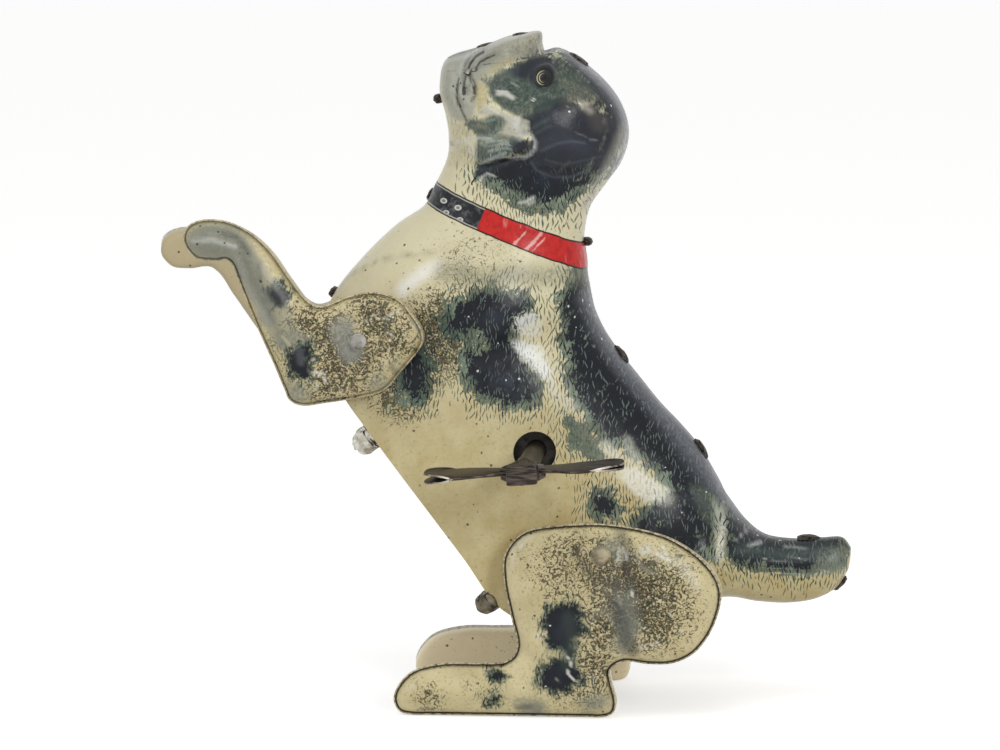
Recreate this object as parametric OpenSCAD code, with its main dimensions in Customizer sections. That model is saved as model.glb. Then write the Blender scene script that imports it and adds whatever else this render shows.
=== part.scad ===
// Wind-up flipping dog: a pressed tinplate clockwork toy that sits up and begs,
// cocks its hind legs and snaps them down again. Millimetres. The origin is on
// the floor, on the dog's centre plane, below the hip axle. The dog faces -X,
// +Z is up, and its left side, with the key, is -Y.

/* [Tinplate] */
// Thickness of the pressed tinplate of body and legs
sheet = 0.45; // [0.35:0.05:0.55]
// Half width of the torso at its fullest
torso_half_w = 13; // [12.6:0.1:13.4]
// Half width of the hips, between the hind legs
hip_half_w = 11.5; // [11.2:0.1:11.8]
// Half width of the head
head_half_w = 11.6; // [10.5:0.1:12.5]
// Half width of the neck under the collar
neck_half_w = 9; // [8:0.1:10]
// Half width of the tail
tail_half_w = 4.2; // [3.5:0.1:5]
// Length of a folded seam tab
tab_l = 2.2; // [1.5:0.1:3]
// Reach of a seam tab over the joint, to each side
tab_reach = 1.5; // [1:0.1:2]

/* [Axes] */
// Height of the hip axle above the floor
hip_z = 21.5; // [21:0.1:22]
// Shoulder pin, ahead of the hip axle
shoulder_x = -31.2; // [-32:0.1:-30.5]
// Height of the shoulder pin
shoulder_z = 49.2; // [48.5:0.1:50]
// Winding arbor, ahead of the hip axle
key_x = -9; // [-9.4:0.1:-8.6]
// Height of the winding arbor
key_z = 34.1; // [33.8:0.1:34.5]

/* [Legs] */
// Depth of a hind leg pressing
hind_depth = 4.9; // [4.6:0.1:6]
// Depth of a front leg pressing
front_depth = 4.6; // [4.2:0.1:6]
// Radius of the pressed corner round each leg
leg_corner = 1.4; // [1:0.1:1.5]
// Turn of the far front leg below the near one, in degrees
far_leg_turn = 3; // [2:1:8]
// Extra reach of the far front leg
far_leg_reach = 3.6; // [2:0.2:5]
// How far the far front leg hangs below the near one at the shoulder
far_leg_drop = 2.8; // [1:0.1:3.1]
// Extra length of the far front leg's paw
far_leg_longer = 3.3; // [0:0.1:3.8]
// Radius of the hip axle
hip_axle_r = 1; // [0.8:0.05:1.2]
// Radius of the shoulder rod
shoulder_rod_r = 0.9; // [0.7:0.05:1.1]

/* [Key] */
// Span over both wings of the key
key_span = 25.5; // [22:0.5:28]
// Depth of the key along its arbor
key_depth = 9; // [7:0.5:11]
// Thickness of one sheet of the folded key
key_sheet = 0.55; // [0.4:0.05:0.7]
// Outer radius of the key's hub
key_hub_r = 1.9; // [1.75:0.05:2.2]
// Distance of the key's middle from the centre plane
key_out = 28.5; // [26:0.5:30]
// Tilt of the wings, in degrees
key_tilt = 4; // [0:1:30]
// Radius of the winding arbor
arbor_r = 1.3; // [1.1:0.05:1.4]
// Radius of the key hole in the body
key_hole_r = 2.75; // [2.2:0.05:3.2]

/* [Motor] */
// Room between a side plate and the shell's widest place at the hips
plate_room = 2.7; // [2.5:0.05:2.9]
// Thickness of a side plate
plate_t = 0.8; // [0.6:0.1:0.9]
// Width of a plate's lug at the belly edge
lug_w = 2.5; // [2:0.1:3]
// How far a lug sticks out below the belly edge
lug_out = 2.3; // [1.8:0.1:2.8]
// Radius of a plate pillar
pillar_r = 1.2; // [0.9:0.05:1.3]
// Gear module
gear_module = 0.5; // [0.48:0.01:0.5]
// Thickness of the wheels
wheel_t = 1; // [0.8:0.1:1.1]
// Thickness of the mainspring strip
spring_t = 0.3; // [0.2:0.05:0.35]
// Turns of the mainspring
spring_turns = 7; // [5:1:8]
// Wire of the kick spring
kick_wire = 0.5; // [0.4:0.05:0.6]
// Turns of the kick spring
kick_turns = 5; // [3:1:5]

/* [Fits] */
// Running clearance round a pin or arbor
run_fit = 0.05; // [0.03:0.01:0.08]
// Clearance of two pieces that are fixed together
tight_fit = 0.02; // [0.01:0.005:0.03]
// Least gap between the legs and the body
leg_gap = 0.45; // [0.4:0.05:0.6]

/* [Hidden] */
$fn = 48;

cream = "#b9ad86";
steel = "#8f8d88";
dark_steel = "#5a5450";
brass = "#b08d4a";

// Places of the axes in side view
hip = [0, hip_z];
shoulder = [shoulder_x, shoulder_z];
arbor = [key_x, key_z];

// A smooth curve through points, open or closed, n steps a span
function ease(a, b, c, d, t) = 0.5 * (2 * b + (c - a) * t
    + (2 * a - 5 * b + 4 * c - d) * t * t + (3 * b - a - 3 * c + d) * t * t * t);
function open_curve(p, n) = [
    for (i = [0:len(p) - 2]) for (s = [0:n - 1])
        ease(p[max(i - 1, 0)], p[i], p[i + 1], p[min(i + 2, len(p) - 1)], s / n),
    p[len(p) - 1]];
function closed_curve(p, n) = let (m = len(p)) [
    for (i = [0:m - 1]) for (s = [0:n - 1])
        ease(p[(i + m - 1) % m], p[i], p[(i + 1) % m], p[(i + 2) % m], s / n)];
function polar(r, a) = [r * cos(a), r * sin(a)];
function heading(v) = atan2(v[1], v[0]);

// Draws a side view outline from y0 to y1
module slab(y0, y1) {
    translate([0, y1, 0]) rotate([90, 0, 0]) linear_extrude(y1 - y0) children();
}
// A round bar across the dog at p, from y0 to y1
module bar(p, r, y0, y1) {
    translate([p[0], y1, p[1]]) rotate([90, 0, 0]) cylinder(r = r, h = y1 - y0);
}
// A rivet head, domed, whose flat side is at y and whose dome points to side
module rivet(p, r, h, y, side) {
    translate([p[0], y, p[1]]) rotate([-90 * side, 0, 0]) rotate_extrude()
        polygon([[0, 0], [r, 0], [r, h * 0.35], [r * 0.78, h * 0.78],
            [r * 0.4, h * 0.96], [0, h]]);
}

// Body halves. Each rib runs from the back line to the front or belly line:
// back x, back z, front x, front z, half width, and how far the rib goes round,
// 1 where the halves meet and about a half where the belly is open.
belly = 0.55;
ribs = [
    [31.7, 20.6, 31.3, 17.2, 0.4 * tail_half_w, 1],
    [30.6, 21.8, 30.0, 15.2, 0.7 * tail_half_w, 1],
    [28.0, 21.7, 27.3, 13.7, 0.88 * tail_half_w, 1],
    [24.5, 21.5, 23.6, 13.1, tail_half_w, 1],
    [20.6, 22.0, 19.6, 13.3, 1.25 * tail_half_w, 1],
    [17.9, 23.9, 15.4, 13.9, 0.67 * hip_half_w, 1],
    [15.8, 26.7, 9.5, 12.6, 0.89 * hip_half_w, 0.8],
    [13.9, 30.1, 1.5, 11.6, 0.98 * hip_half_w, belly + 0.02],
    [11.9, 33.5, -7.5, 11.5, hip_half_w, belly],
    [9.3, 36.6, -13.4, 13.5, hip_half_w, belly],
    [6.6, 39.4, -18.2, 20.0, hip_half_w + 0.2, belly],
    [4.0, 42.6, -22.5, 25.85, 0.945 * torso_half_w, belly],
    [1.4, 45.8, -27.0, 31.95, 0.99 * torso_half_w, belly],
    [-0.6, 48.7, -30.4, 36.55, 0.99 * torso_half_w, belly],
    [-1.9, 51.4, -33.5, 40.75, 0.98 * torso_half_w, belly + 0.03],
    [-2.4, 53.3, -36.3, 45.2, 0.97 * torso_half_w, 0.8],
    [-2.7, 54.9, -37.4, 50.2, 0.95 * torso_half_w, 1],
    [-2.9, 56.0, -35.9, 54.2, 0.91 * torso_half_w, 1],
    [-3.0, 57.0, -32.0, 58.9, 0.84 * torso_half_w, 1],
    [-3.1, 58.2, -28.0, 62.7, 1.1 * neck_half_w, 1],
    [-3.3, 59.6, -24.4, 65.2, 1.02 * neck_half_w, 1],
    [-3.4, 61.6, -22.8, 68.2, neck_half_w, 1],
    [-2.6, 65.2, -21.3, 71.7, 1.05 * neck_half_w, 1],
    [-0.4, 68.4, -21.1, 74.6, 0.92 * head_half_w, 1],
    [1.6, 71.4, -21.5, 77.2, 0.98 * head_half_w, 1],
    [2.4, 75.0, -22.0, 79.2, head_half_w, 1],
    [1.3, 78.8, -22.2, 80.6, 0.96 * head_half_w, 1],
    [-1.3, 82.1, -22.2, 81.7, 0.88 * head_half_w, 1],
    [-4.6, 84.9, -22.1, 82.5, 0.78 * head_half_w, 1],
    [-7.8, 85.8, -22.0, 83.0, 0.69 * head_half_w, 1],
    [-9.3, 87.8, -21.9, 83.4, 0.6 * head_half_w, 1],
    [-12.5, 87.7, -21.7, 83.9, 0.45 * head_half_w, 1],
    [-16.1, 86.5, -21.5, 84.3, 0.3 * head_half_w, 1],
    [-19.2, 85.6, -21.3, 84.7, 0.16 * head_half_w, 1]];
rib_steps = 2;
rib_n = 11;
rib_fullness = 0.8;
skin = open_curve(ribs, rib_steps);

// One point of a rib, set in from the outside by the given thickness
function rib_point(s, j, inset) = let (
    turn = 180 * min(1, s[5]),
    a = turn * j / rib_n,
    share = (1 - cos(a)) / (1 - cos(turn)),
    back = [s[0], s[1]],
    chord = [s[2], s[3]] - back,
    dir = chord / norm(chord),
    shut = max(0, min(1, (s[5] - 0.6) / 0.4)),
    p = back + dir * inset + (chord - dir * inset * (1 + shut)) * share)
    [p[0], -max(0, s[4] - inset) * pow(sin(a), rib_fullness), p[1]];

// The first and last inner ribs lie one sheet inside the outer ones
function rib_mid(s) = [s[0] + s[2], s[1] + s[3]] / 2;
function step_in(a, b) = a + (b - a) * sheet / norm(rib_mid(b) - rib_mid(a));
skin_last = len(skin) - 1;
lining = [for (i = [0:skin_last]) i == 0 ? step_in(skin[0], skin[1])
    : i == skin_last ? step_in(skin[i], skin[i - 1]) : skin[i]];

module half_shell() {
    m = rib_n + 1;
    in = m * len(skin);
    n = skin_last;
    polyhedron(
        points = [for (s = skin) for (j = [0:rib_n]) rib_point(s, j, 0),
            for (s = lining) for (j = [0:rib_n]) rib_point(s, j, sheet)],
        faces = [
            for (i = [0:n - 1]) for (j = [0:rib_n - 1]) let (a = i * m + j, b = a + m)
                each [[a, a + 1, b + 1], [a, b + 1, b],
                    [in + a, in + b, in + b + 1], [in + a, in + b + 1, in + a + 1]],
            for (i = [0:n - 1]) let (a = i * m, b = a + m, c = a + rib_n, d = b + rib_n)
                each [[a, b, in + b], [a, in + b, in + a],
                    [d, c, in + c], [d, in + c, in + d]],
            [for (j = [rib_n:-1:0]) j],
            [for (j = [0:rib_n]) in + j],
            [rib_n, 0, in, in + rib_n],
            [for (j = [0:rib_n]) n * m + j],
            [for (j = [rib_n:-1:0]) in + n * m + j],
            [n * m, n * m + rib_n, in + n * m + rib_n, in + n * m]]);
}

// Seam tabs: x, z and the heading of the seam, in degrees
seam_tabs = [[-22.2, 78.9, 88], [-16.2, 86.5, 17], [-11.3, 88.0, 3],
    [-3.5, 84.1, -38], [-3.5, 60.6, -92], [-23.6, 66.7, 62], [1.5, 45.7, -52],
    [12.0, 33.3, -60], [26.4, 21.6, -3], [30.4, 15.6, -135], [-36.3, 53.7, 55]];
module seam_tab(s) {
    translate([s[0], 0, s[1]]) rotate([0, -s[2], 0]) {
        translate([-tab_l / 2, -tab_reach, -sheet]) cube([tab_l, tab_reach, 2 * sheet]);
        translate([-tab_l / 2, -tab_reach, tight_fit])
            cube([tab_l, 2 * tab_reach, sheet]);
    }
}

module body_half(is_left) {
    difference() {
        half_shell();
        bar(hip, hip_axle_r + run_fit, -torso_half_w - 1, 0);
        bar(shoulder, shoulder_rod_r + run_fit, -torso_half_w - 1, 0);
        if (is_left) bar(arbor, key_hole_r, -torso_half_w - 1, 0);
    }
}
module body_left() {
    color(cream) {
        body_half(true);
        for (s = seam_tabs) seam_tab(s);
    }
}
module body_right() {
    color(cream) mirror([0, 1, 0]) body_half(false);
}

// Leg pressings: a dish whose rim faces the body, drawn on the left side
function out_normal(p, i) = let (m = len(p), t = p[(i + 1) % m] - p[(i + m - 1) % m])
    [t[1], -t[0]] / norm(t);
// Radius of a convex bend at point i, so that no ring folds over itself there
function bend_r(p, i) = let (m = len(p), a = p[i] - p[(i + m - 1) % m],
    b = p[(i + 1) % m] - p[i], turn = asin(cross(a, b) / norm(a) / norm(b)))
    turn > 1 ? (norm(a) + norm(b)) / 2 / turn * 180 / PI : 99;
function ring(p, inset, y) = [for (i = [0:len(p) - 1])
    let (q = p[i] - min(inset, 0.75 * bend_r(p, i)) * out_normal(p, i)) [q[0], y, q[1]]];
corner_steps = [0, 30, 60, 90];
function reversed(p) = [for (i = [len(p) - 1:-1:0]) p[i]];
function outer_rings(p, depth, y) = [ring(p, 0, y),
    for (a = corner_steps) ring(p, leg_corner * (1 - cos(a)),
        y - depth + leg_corner * (1 - sin(a)))];
function inner_rings(p, depth, y) = [ring(p, sheet, y),
    for (a = corner_steps) ring(p, leg_corner - (leg_corner - sheet) * cos(a),
        y - depth + leg_corner - (leg_corner - sheet) * sin(a))];

// The wall and its round corner are one closed ring of sheet, round a flat face
module dish(outline, depth, y) {
    m = len(outline);
    rings = concat(outer_rings(outline, depth, y), reversed(inner_rings(outline, depth, y)));
    k = len(rings);
    lap = 0.1;
    skew = 0.01;
    polyhedron(
        points = [for (r = rings) each r],
        faces = [for (r = [0:k - 1]) for (i = [0:m - 1])
            let (a = r * m, b = (r + 1) % k * m, j = (i + 1) % m)
            each [[a + i, b + i, b + j], [a + i, b + j, a + j]]]);
    slab(y - depth + skew, y - depth + sheet + skew)
        polygon([for (q = ring(outline, leg_corner - lap, 0)) [q[0], q[2]]]);
}

// Outlines in side view, anticlockwise as seen from the left
hind_outline = [[-6.3, 25.1], [-10.3, 24.1], [-12.6, 21.3], [-12.7, 17.6],
    [-11.8, 13.2], [-11, 9.3], [-12.4, 7.3], [-16, 7], [-20.5, 6.9],
    [-24.2, 6], [-26.2, 4.3], [-27.1, 2.3], [-26.5, 0.6], [-24.8, 0.05], [-21, 0.05],
    [-15, 0.05], [-8, 0.05], [-2, 0.05], [0, 0.05], [1.5, 0.6], [1.9, 2.2], [1.3, 4.6],
    [1.2, 6.3], [3, 7.4], [6.2, 7.1], [9.4, 7.3], [12.2, 8.8], [14.4, 11.9], [15.5, 16], [14.6, 19],
    [11.8, 21.9], [7.4, 24.2], [0.6, 25.4]];
front_outline = [[-51.6, 64.6], [-53.7, 63.6], [-54.1, 61.6], [-52.6, 59.6],
    [-50.2, 59.2], [-48.1, 59.1], [-46.6, 55.6], [-44.7, 50.9], [-42.6, 46.2],
    [-41.2, 42.9], [-40.4, 41.2], [-38.6, 40.5], [-35.8, 40.9], [-31.6, 41.6], [-28.2, 42.6],
    [-26, 45], [-24, 47.4], [-23.1, 49], [-23.3, 50.6], [-24.4, 52.4], [-26.3, 54.5],
    [-29.4, 55.4], [-32.8, 54.8], [-36.2, 53.5], [-38.2, 54.4], [-40.4, 57.2],
    [-42.8, 60.6], [-45.4, 63], [-48.4, 64.4]];
outline_steps = 2;
hind_rim_y = -(hip_half_w + 0.1 + leg_gap);
front_rim_y = -(torso_half_w + leg_gap);
hind_face_y = hind_rim_y - hind_depth;
front_face_y = front_rim_y - front_depth;
sole_in = 0.4;
toe_x = -26;
heel_x = 1;
knee_boss = [-0.2, 11.9];

module hind_leg() {
    sole_y = hind_face_y + leg_corner;
    difference() {
        dish(closed_curve(hind_outline, outline_steps), hind_depth, hind_rim_y);
        bar(hip, hip_axle_r + tight_fit, hind_face_y - 1, hind_face_y + 1);
    }
    translate([toe_x, sole_y, 0]) cube([heel_x - toe_x, hind_rim_y - sole_y, sole_in]);
    rivet(knee_boss, 2.2, 0.5, hind_face_y + 0.01, -1);
}
module hind_leg_left() {
    color(cream) hind_leg();
}
module hind_leg_right() {
    color(cream) mirror([0, 1, 0]) hind_leg();
}

// The far paw is longer than the near one, from its wrist
wrist_x = -44;
paw_x = -50;
module front_leg(reach, drop, turn, longer) {
    outline = [for (p = front_outline)
        [p[0] - longer * max(0, min(1, (p[0] - wrist_x) / (paw_x - wrist_x))), p[1]]];
    difference() {
        translate([shoulder[0], 0, shoulder[1]]) rotate([0, -turn, 0])
            translate([-shoulder[0] - reach, 0, -shoulder[1] - drop])
                dish(closed_curve(outline, outline_steps), front_depth, front_rim_y);
        bar(shoulder, shoulder_rod_r + run_fit, front_face_y - 1, front_face_y + 1);
    }
}
module front_leg_left() {
    color(cream) front_leg(0, 0, 0, 0);
}
module front_leg_right() {
    color(cream) mirror([0, 1, 0]) front_leg(far_leg_reach, far_leg_drop, far_leg_turn, far_leg_longer);
}

module pinned_bar(p, r, end) {
    bar(p, r, -end, end);
    for (side = [-1, 1]) rivet(p, 1.35 * r, 0.55 * r, side * end, side);
}
module shoulder_rod() {
    color(steel) pinned_bar(shoulder, shoulder_rod_r, -front_face_y + run_fit);
}
module hip_axle() {
    color(steel) pinned_bar(hip, hip_axle_r, -hind_face_y + tight_fit);
}

// The side plates stand inside the hips, and the bushes fill the room left
plate_out = hip_half_w - plate_room;
plate_in = plate_out - plate_t;
bush_end = 0.917 * (hip_half_w - sheet);
module hip_bushes() {
    color(brass) for (side = [0, 1]) mirror([0, side, 0]) difference() {
        bar(hip, hip_axle_r + 1, plate_out + run_fit, bush_end);
        bar(hip, hip_axle_r + run_fit, plate_in, torso_half_w);
    }
}

// Gear train: arbors, tooth counts, and places across the motor
great_teeth = 32;
second_teeth = 30;
pinion_teeth = 8;
addendum = 0.8 * gear_module;
dedendum = 1.2 * gear_module;
tooth_share = 0.84;
pressure = 20;
function gear_r(z) = gear_module * z / 2;
second_heading = -100;
fly_heading = 140;
second = arbor + polar(gear_r(great_teeth + pinion_teeth), second_heading);
fly = second + polar(gear_r(second_teeth + pinion_teeth), fly_heading);
great_y = -0.1;
click_y = great_y - wheel_t - 0.1;
cam_y = -plate_in + 1.2;
cam_t = 1.2;
second_y = cam_y + 2.8;

// Involute teeth, with backlash so that no phase touches
function half_tooth(z, r) = let (
    base = gear_r(z) * cos(pressure),
    t = r > base ? sqrt(pow(r / base, 2) - 1) : 0)
    90 / z * tooth_share + tan(pressure) * 180 / PI - pressure - t * 180 / PI + atan(t);
function gear_points(z) = let (
    root = gear_r(z) - dedendum,
    base = gear_r(z) * cos(pressure),
    tip = gear_r(z) + addendum,
    radii = [root, base, (base + tip) / 2, tip])
    [for (i = [0:z - 1]) each [
        for (k = [0:3]) polar(radii[k], 360 * i / z - half_tooth(z, radii[k])),
        for (k = [3:-1:0]) polar(radii[k], 360 * i / z + half_tooth(z, radii[k]))]];
module gear(p, z, turn, y, t) {
    slab(y - t / 2, y + t / 2) translate(p) rotate(turn) polygon(gear_points(z));
}
module spokes(p, inner, outer, y, t) {
    for (a = [0:72:288]) bar(p + polar((inner + outer) / 2, a + 36),
        (outer - inner) / 2 - 0.4, y - t, y + t);
}

// Side plates
edge_top = [-33.5, 40.75];
edge_dir = [20.1, -27.25] / norm([20.1, -27.25]);
edge_out = [edge_dir[1], -edge_dir[0]];
front_lug = 5.7;
rear_lug = 32.2;
function on_edge(along, out) = edge_top + along * edge_dir + out * edge_out;
// A lug, in the plane of its plate, runs past the belly edge
plate_inset = -1.2;
lug_chamfer = 0.6;
function lug_outline(along) = let (a = along + lug_w / 2, b = along - lug_w / 2) [
    on_edge(a, plate_inset), on_edge(a, lug_out - lug_chamfer),
    on_edge(a - lug_chamfer, lug_out), on_edge(b + lug_chamfer, lug_out),
    on_edge(b, lug_out - lug_chamfer), on_edge(b, plate_inset)];
plate_outline = [on_edge(front_lug - 2.3, plate_inset), [-28.5, 42], [-24, 45.5], [-13.5, 46.2], [-8.8, 45],
    [-6.4, 41.4], [-3.5, 37.6], [-1.5, 33.2], [0.9, 28.4], [4.1, 25.4], [5.3, 22],
    [4.4, 17.5], [-0.5, 13.8], [-7.5, 12.9], on_edge(rear_lug + 2, plate_inset),
    each lug_outline(rear_lug), each lug_outline(front_lug)];
pillars = [[-27, 38.6], [-7.8, 15], [-11.8, 44.2], [1.5, 25.7]];
pillar_end = pillar_r * 0.65;

// The foot of a lug turns out under the shell, whose edge rests on it
module lug_foot(along) {
    half = lug_w / 2 - 0.1;
    slab(-hip_half_w - 0.1, -plate_in - plate_t / 2) polygon([
        on_edge(along - half, run_fit), on_edge(along + half, run_fit),
        on_edge(along + half, run_fit + plate_t), on_edge(along - half, run_fit + plate_t)]);
}
module plate_hole(p, r) {
    bar(p, r, -plate_out - plate_t, -plate_in + plate_t);
}
module side_plate(arbor_hole) {
    difference() {
        union() {
            slab(-plate_out, -plate_in) polygon(plate_outline);
            for (along = [front_lug, rear_lug]) lug_foot(along);
        }
        for (p = pillars) plate_hole(p, pillar_end + tight_fit);
        plate_hole(arbor, arbor_hole);
        for (p = [second, fly]) plate_hole(p, journal_r + run_fit);
        plate_hole(hip, hip_axle_r + run_fit);
    }
}
journal_r = 0.6;
arbor_end_r = 0.7 * arbor_r;
module plate_left() {
    color(steel) side_plate(arbor_r + run_fit);
}
module plate_right() {
    color(steel) mirror([0, 1, 0]) side_plate(arbor_end_r + run_fit);
}
module plate_pillars() {
    color(steel) for (p = pillars) {
        bar(p, pillar_r, -plate_in + tight_fit, plate_in - tight_fit);
        for (side = [-1, 1]) rivet(p, pillar_r, 0.4, side * plate_out + side * tight_fit, side);
        bar(p, pillar_end, -plate_out - tight_fit, plate_out + tight_fit);
    }
}

// Key: two folded sheets with splayed ends, on a hub round the arbor
key_front = -key_out - key_depth / 2;
key_back = -key_out + key_depth / 2;
module key() {
    half = key_span / 2;
    waist = 0.3 * key_depth;
    wing_plan = [[0, waist], [0.25 * half, 0.33 * key_depth], [0.6 * half, 0.43 * key_depth],
        [0.88 * half, 0.49 * key_depth], [0.98 * half, 0.46 * key_depth],
        [half, 0.36 * key_depth], [half, 0]];
    quarter = open_curve(wing_plan, 3);
    last = len(quarter) - 1;
    color(dark_steel) translate([arbor[0], 0, arbor[1]]) rotate([0, -key_tilt, 0])
        difference() {
            union() {
                intersection() {
                    slab(key_front, key_back) for (side = [0, 1]) mirror([side, 0])
                        polygon([[-0.1, -key_sheet], [0.66 * half, -key_sheet],
                            [half, -2 * key_sheet], [half - 0.1, -0.8 * key_sheet],
                            [0.78 * half, 0], [half - 0.1, 0.8 * key_sheet],
                            [half, 2 * key_sheet], [0.66 * half, key_sheet],
                            [-0.1, key_sheet]]);
                    translate([0, -key_out, -3]) linear_extrude(6) for (side = [0, 1])
                        mirror([side, 0]) polygon([
                            for (i = [0:last]) quarter[i],
                            for (i = [last - 1:-1:0]) [quarter[i][0], -quarter[i][1]]]);
                }
                translate([0, key_back, 0]) rotate([90, 0, 0])
                    cylinder(r = key_hub_r, h = key_depth);
            }
            translate([0, key_back + 1, 0]) rotate([90, 0, 0])
                cylinder(r = arbor_r + tight_fit, h = key_depth + 2);
        }
}
module key_arbor() {
    color(steel) {
        bar(arbor, arbor_r, key_front, plate_in - run_fit);
        bar(arbor, arbor_end_r, plate_in - plate_t, plate_out + 0.4);
        rivet(arbor, arbor_r, 0.4, key_front + 0.001, -1);
    }
}

// Mainspring: a spiral strip whose outer end runs to the upper pillar
spring_in_r = arbor_r + spring_t / 2 + run_fit;
spring_out_r = 7.2;
spring_start_y = 1;
spring_w = plate_in - 1 - spring_start_y;
tail_heading = heading(pillars[2] - arbor) - acos(spring_out_r / norm(pillars[2] - arbor));
function spiral_r(s) = spring_in_r + (spring_out_r - spring_in_r) * s;
function spiral(s, off) = polar(spiral_r(s) + off, tail_heading - 360 * spring_turns * (1 - s));
module mainspring() {
    n = 24 * spring_turns;
    run = sqrt(pow(norm(pillars[2] - arbor), 2) - pow(spring_out_r, 2)) - pillar_r;
    along = [-sin(tail_heading), cos(tail_heading)];
    color(steel) slab(spring_start_y, spring_start_y + spring_w) translate(arbor) polygon([
        for (i = [0:n]) spiral(i / n, spring_t / 2),
        polar(spring_out_r + spring_t / 2, tail_heading) + along * run,
        polar(spring_out_r - spring_t / 2, tail_heading) + along * run,
        for (i = [n:-1:0]) spiral(i / n, -spring_t / 2)]);
}

// Great wheel on the winding arbor, with the click's stud
click_pivot = arbor + [4.8, 4.3];
click_pin_r = 0.5;
post = arbor + [5.5, -3.1];
module great_wheel() {
    color(brass) {
        difference() {
            gear(arbor, great_teeth, second_heading, great_y, wheel_t);
            bar(arbor, arbor_r + run_fit, -5, 5);
        }
        bar(click_pivot, click_pin_r, click_y - wheel_t / 2 - run_fit, great_y);
        bar(click_pivot, 1.5 * click_pin_r, click_y - wheel_t / 2 - run_fit - 0.3,
            click_y - wheel_t / 2 - run_fit);
        bar(post, click_pin_r, click_y - wheel_t / 2, great_y);
    }
}
ratchet_teeth = 12;
ratchet_tip = 4;
ratchet_root = 3;
module ratchet_wheel() {
    step = 360 / ratchet_teeth;
    color(steel) difference() {
        slab(click_y - wheel_t / 2, click_y + wheel_t / 2) translate(arbor)
            polygon([for (i = [0:ratchet_teeth - 1])
                each [polar(ratchet_tip, i * step), polar(ratchet_root, i * step)]]);
        bar(arbor, arbor_r + tight_fit, -5, 5);
    }
}

// A tapered link between two round ends, in side view
module link(p, q, rp, rq) {
    n = polar(1, heading(q - p) + 90);
    translate(p) circle(rp);
    translate(q) circle(rq);
    polygon([p + n * rp, p - n * rp, q - n * rq, q + n * rq]);
}
click_bend = arbor + [4.2, 2.4];
click_tip = arbor + [3.38, 0.45];
module click() {
    color(brass) difference() {
        slab(click_y - wheel_t / 2, click_y + wheel_t / 2) {
            link(click_pivot, click_bend, 1.7 * click_pin_r, 0.3);
            link(click_bend, click_tip, 0.3, 0.12);
        }
        bar(click_pivot, click_pin_r + run_fit, -5, 5);
    }
}
module click_spring() {
    color(steel) difference() {
        slab(click_y - wheel_t / 2, click_y + wheel_t / 2 - 0.1) {
            translate(post) circle(click_pin_r + 0.4);
            link(post + [-0.4, 0.5], arbor + [4.36, 1.62], 0.2, 0.12);
        }
        bar(post, click_pin_r + tight_fit, -5, 5);
    }
}

module second_arbor() {
    color(steel) {
        bar(second, journal_r, -plate_out, plate_out);
        bar(second, 0.9, -plate_in + 0.1, plate_in - 0.1);
        gear(second, pinion_teeth, second_heading + 180 + 180 / pinion_teeth, great_y, 1.9);
    }
}
wheel_fit_r = 0.9 + tight_fit;
fly_turn = fly_heading + 180 + 180 / pinion_teeth;
module second_wheel() {
    color(brass) difference() {
        gear(second, second_teeth, fly_heading, second_y, wheel_t);
        bar(second, wheel_fit_r, second_y - wheel_t, second_y + wheel_t);
        spokes(second, wheel_fit_r + 0.7, gear_r(second_teeth) - dedendum - 0.5,
            second_y, wheel_t);
    }
}
cam_low = 1.8;
cam_high = 5;
module snail_cam() {
    color(steel) difference() {
        slab(cam_y - cam_t / 2, cam_y + cam_t / 2) translate(second)
            polygon([for (a = [0:10:350])
                polar(cam_low + (cam_high - cam_low) * a / 350, a + 60)]);
        bar(second, wheel_fit_r, cam_y - cam_t, cam_y + cam_t);
    }
}
module fly_arbor() {
    color(steel) {
        bar(fly, journal_r, -plate_out, plate_out);
        gear(fly, pinion_teeth, fly_turn, second_y, 1.9);
    }
}
fly_r = 4;
fly_y0 = cam_y - 0.9;
fly_y1 = cam_y + 1.6;
module governor_fly() {
    color(brass) difference() {
        union() {
            bar(fly, 1.2, fly_y0, fly_y1);
            slab(fly_y0, fly_y1) translate(fly) square([2 * fly_r, 0.5], center = true);
        }
        bar(fly, journal_r + tight_fit, fly_y0 - 1, fly_y1 + 1);
    }
}

// Kick lever on the hip axle: its nose stands just clear of the cam's top
nose_gap = 0.3;
nose_r = 0.7;
hip_to_cam = norm(second - hip);
nose_reach = cam_high + nose_gap + nose_r;
lever_r = sqrt(pow(hip_to_cam, 2) - pow(nose_reach, 2));
lever_heading = heading(second - hip) - asin(nose_reach / hip_to_cam);
module kick_lever() {
    color(steel) difference() {
        slab(cam_y - cam_t / 2, cam_y + cam_t / 2)
            link(hip, hip + polar(lever_r, lever_heading), hip_axle_r + 1, nose_r);
        bar(hip, hip_axle_r + tight_fit, cam_y - cam_t, cam_y + cam_t);
    }
}

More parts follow.
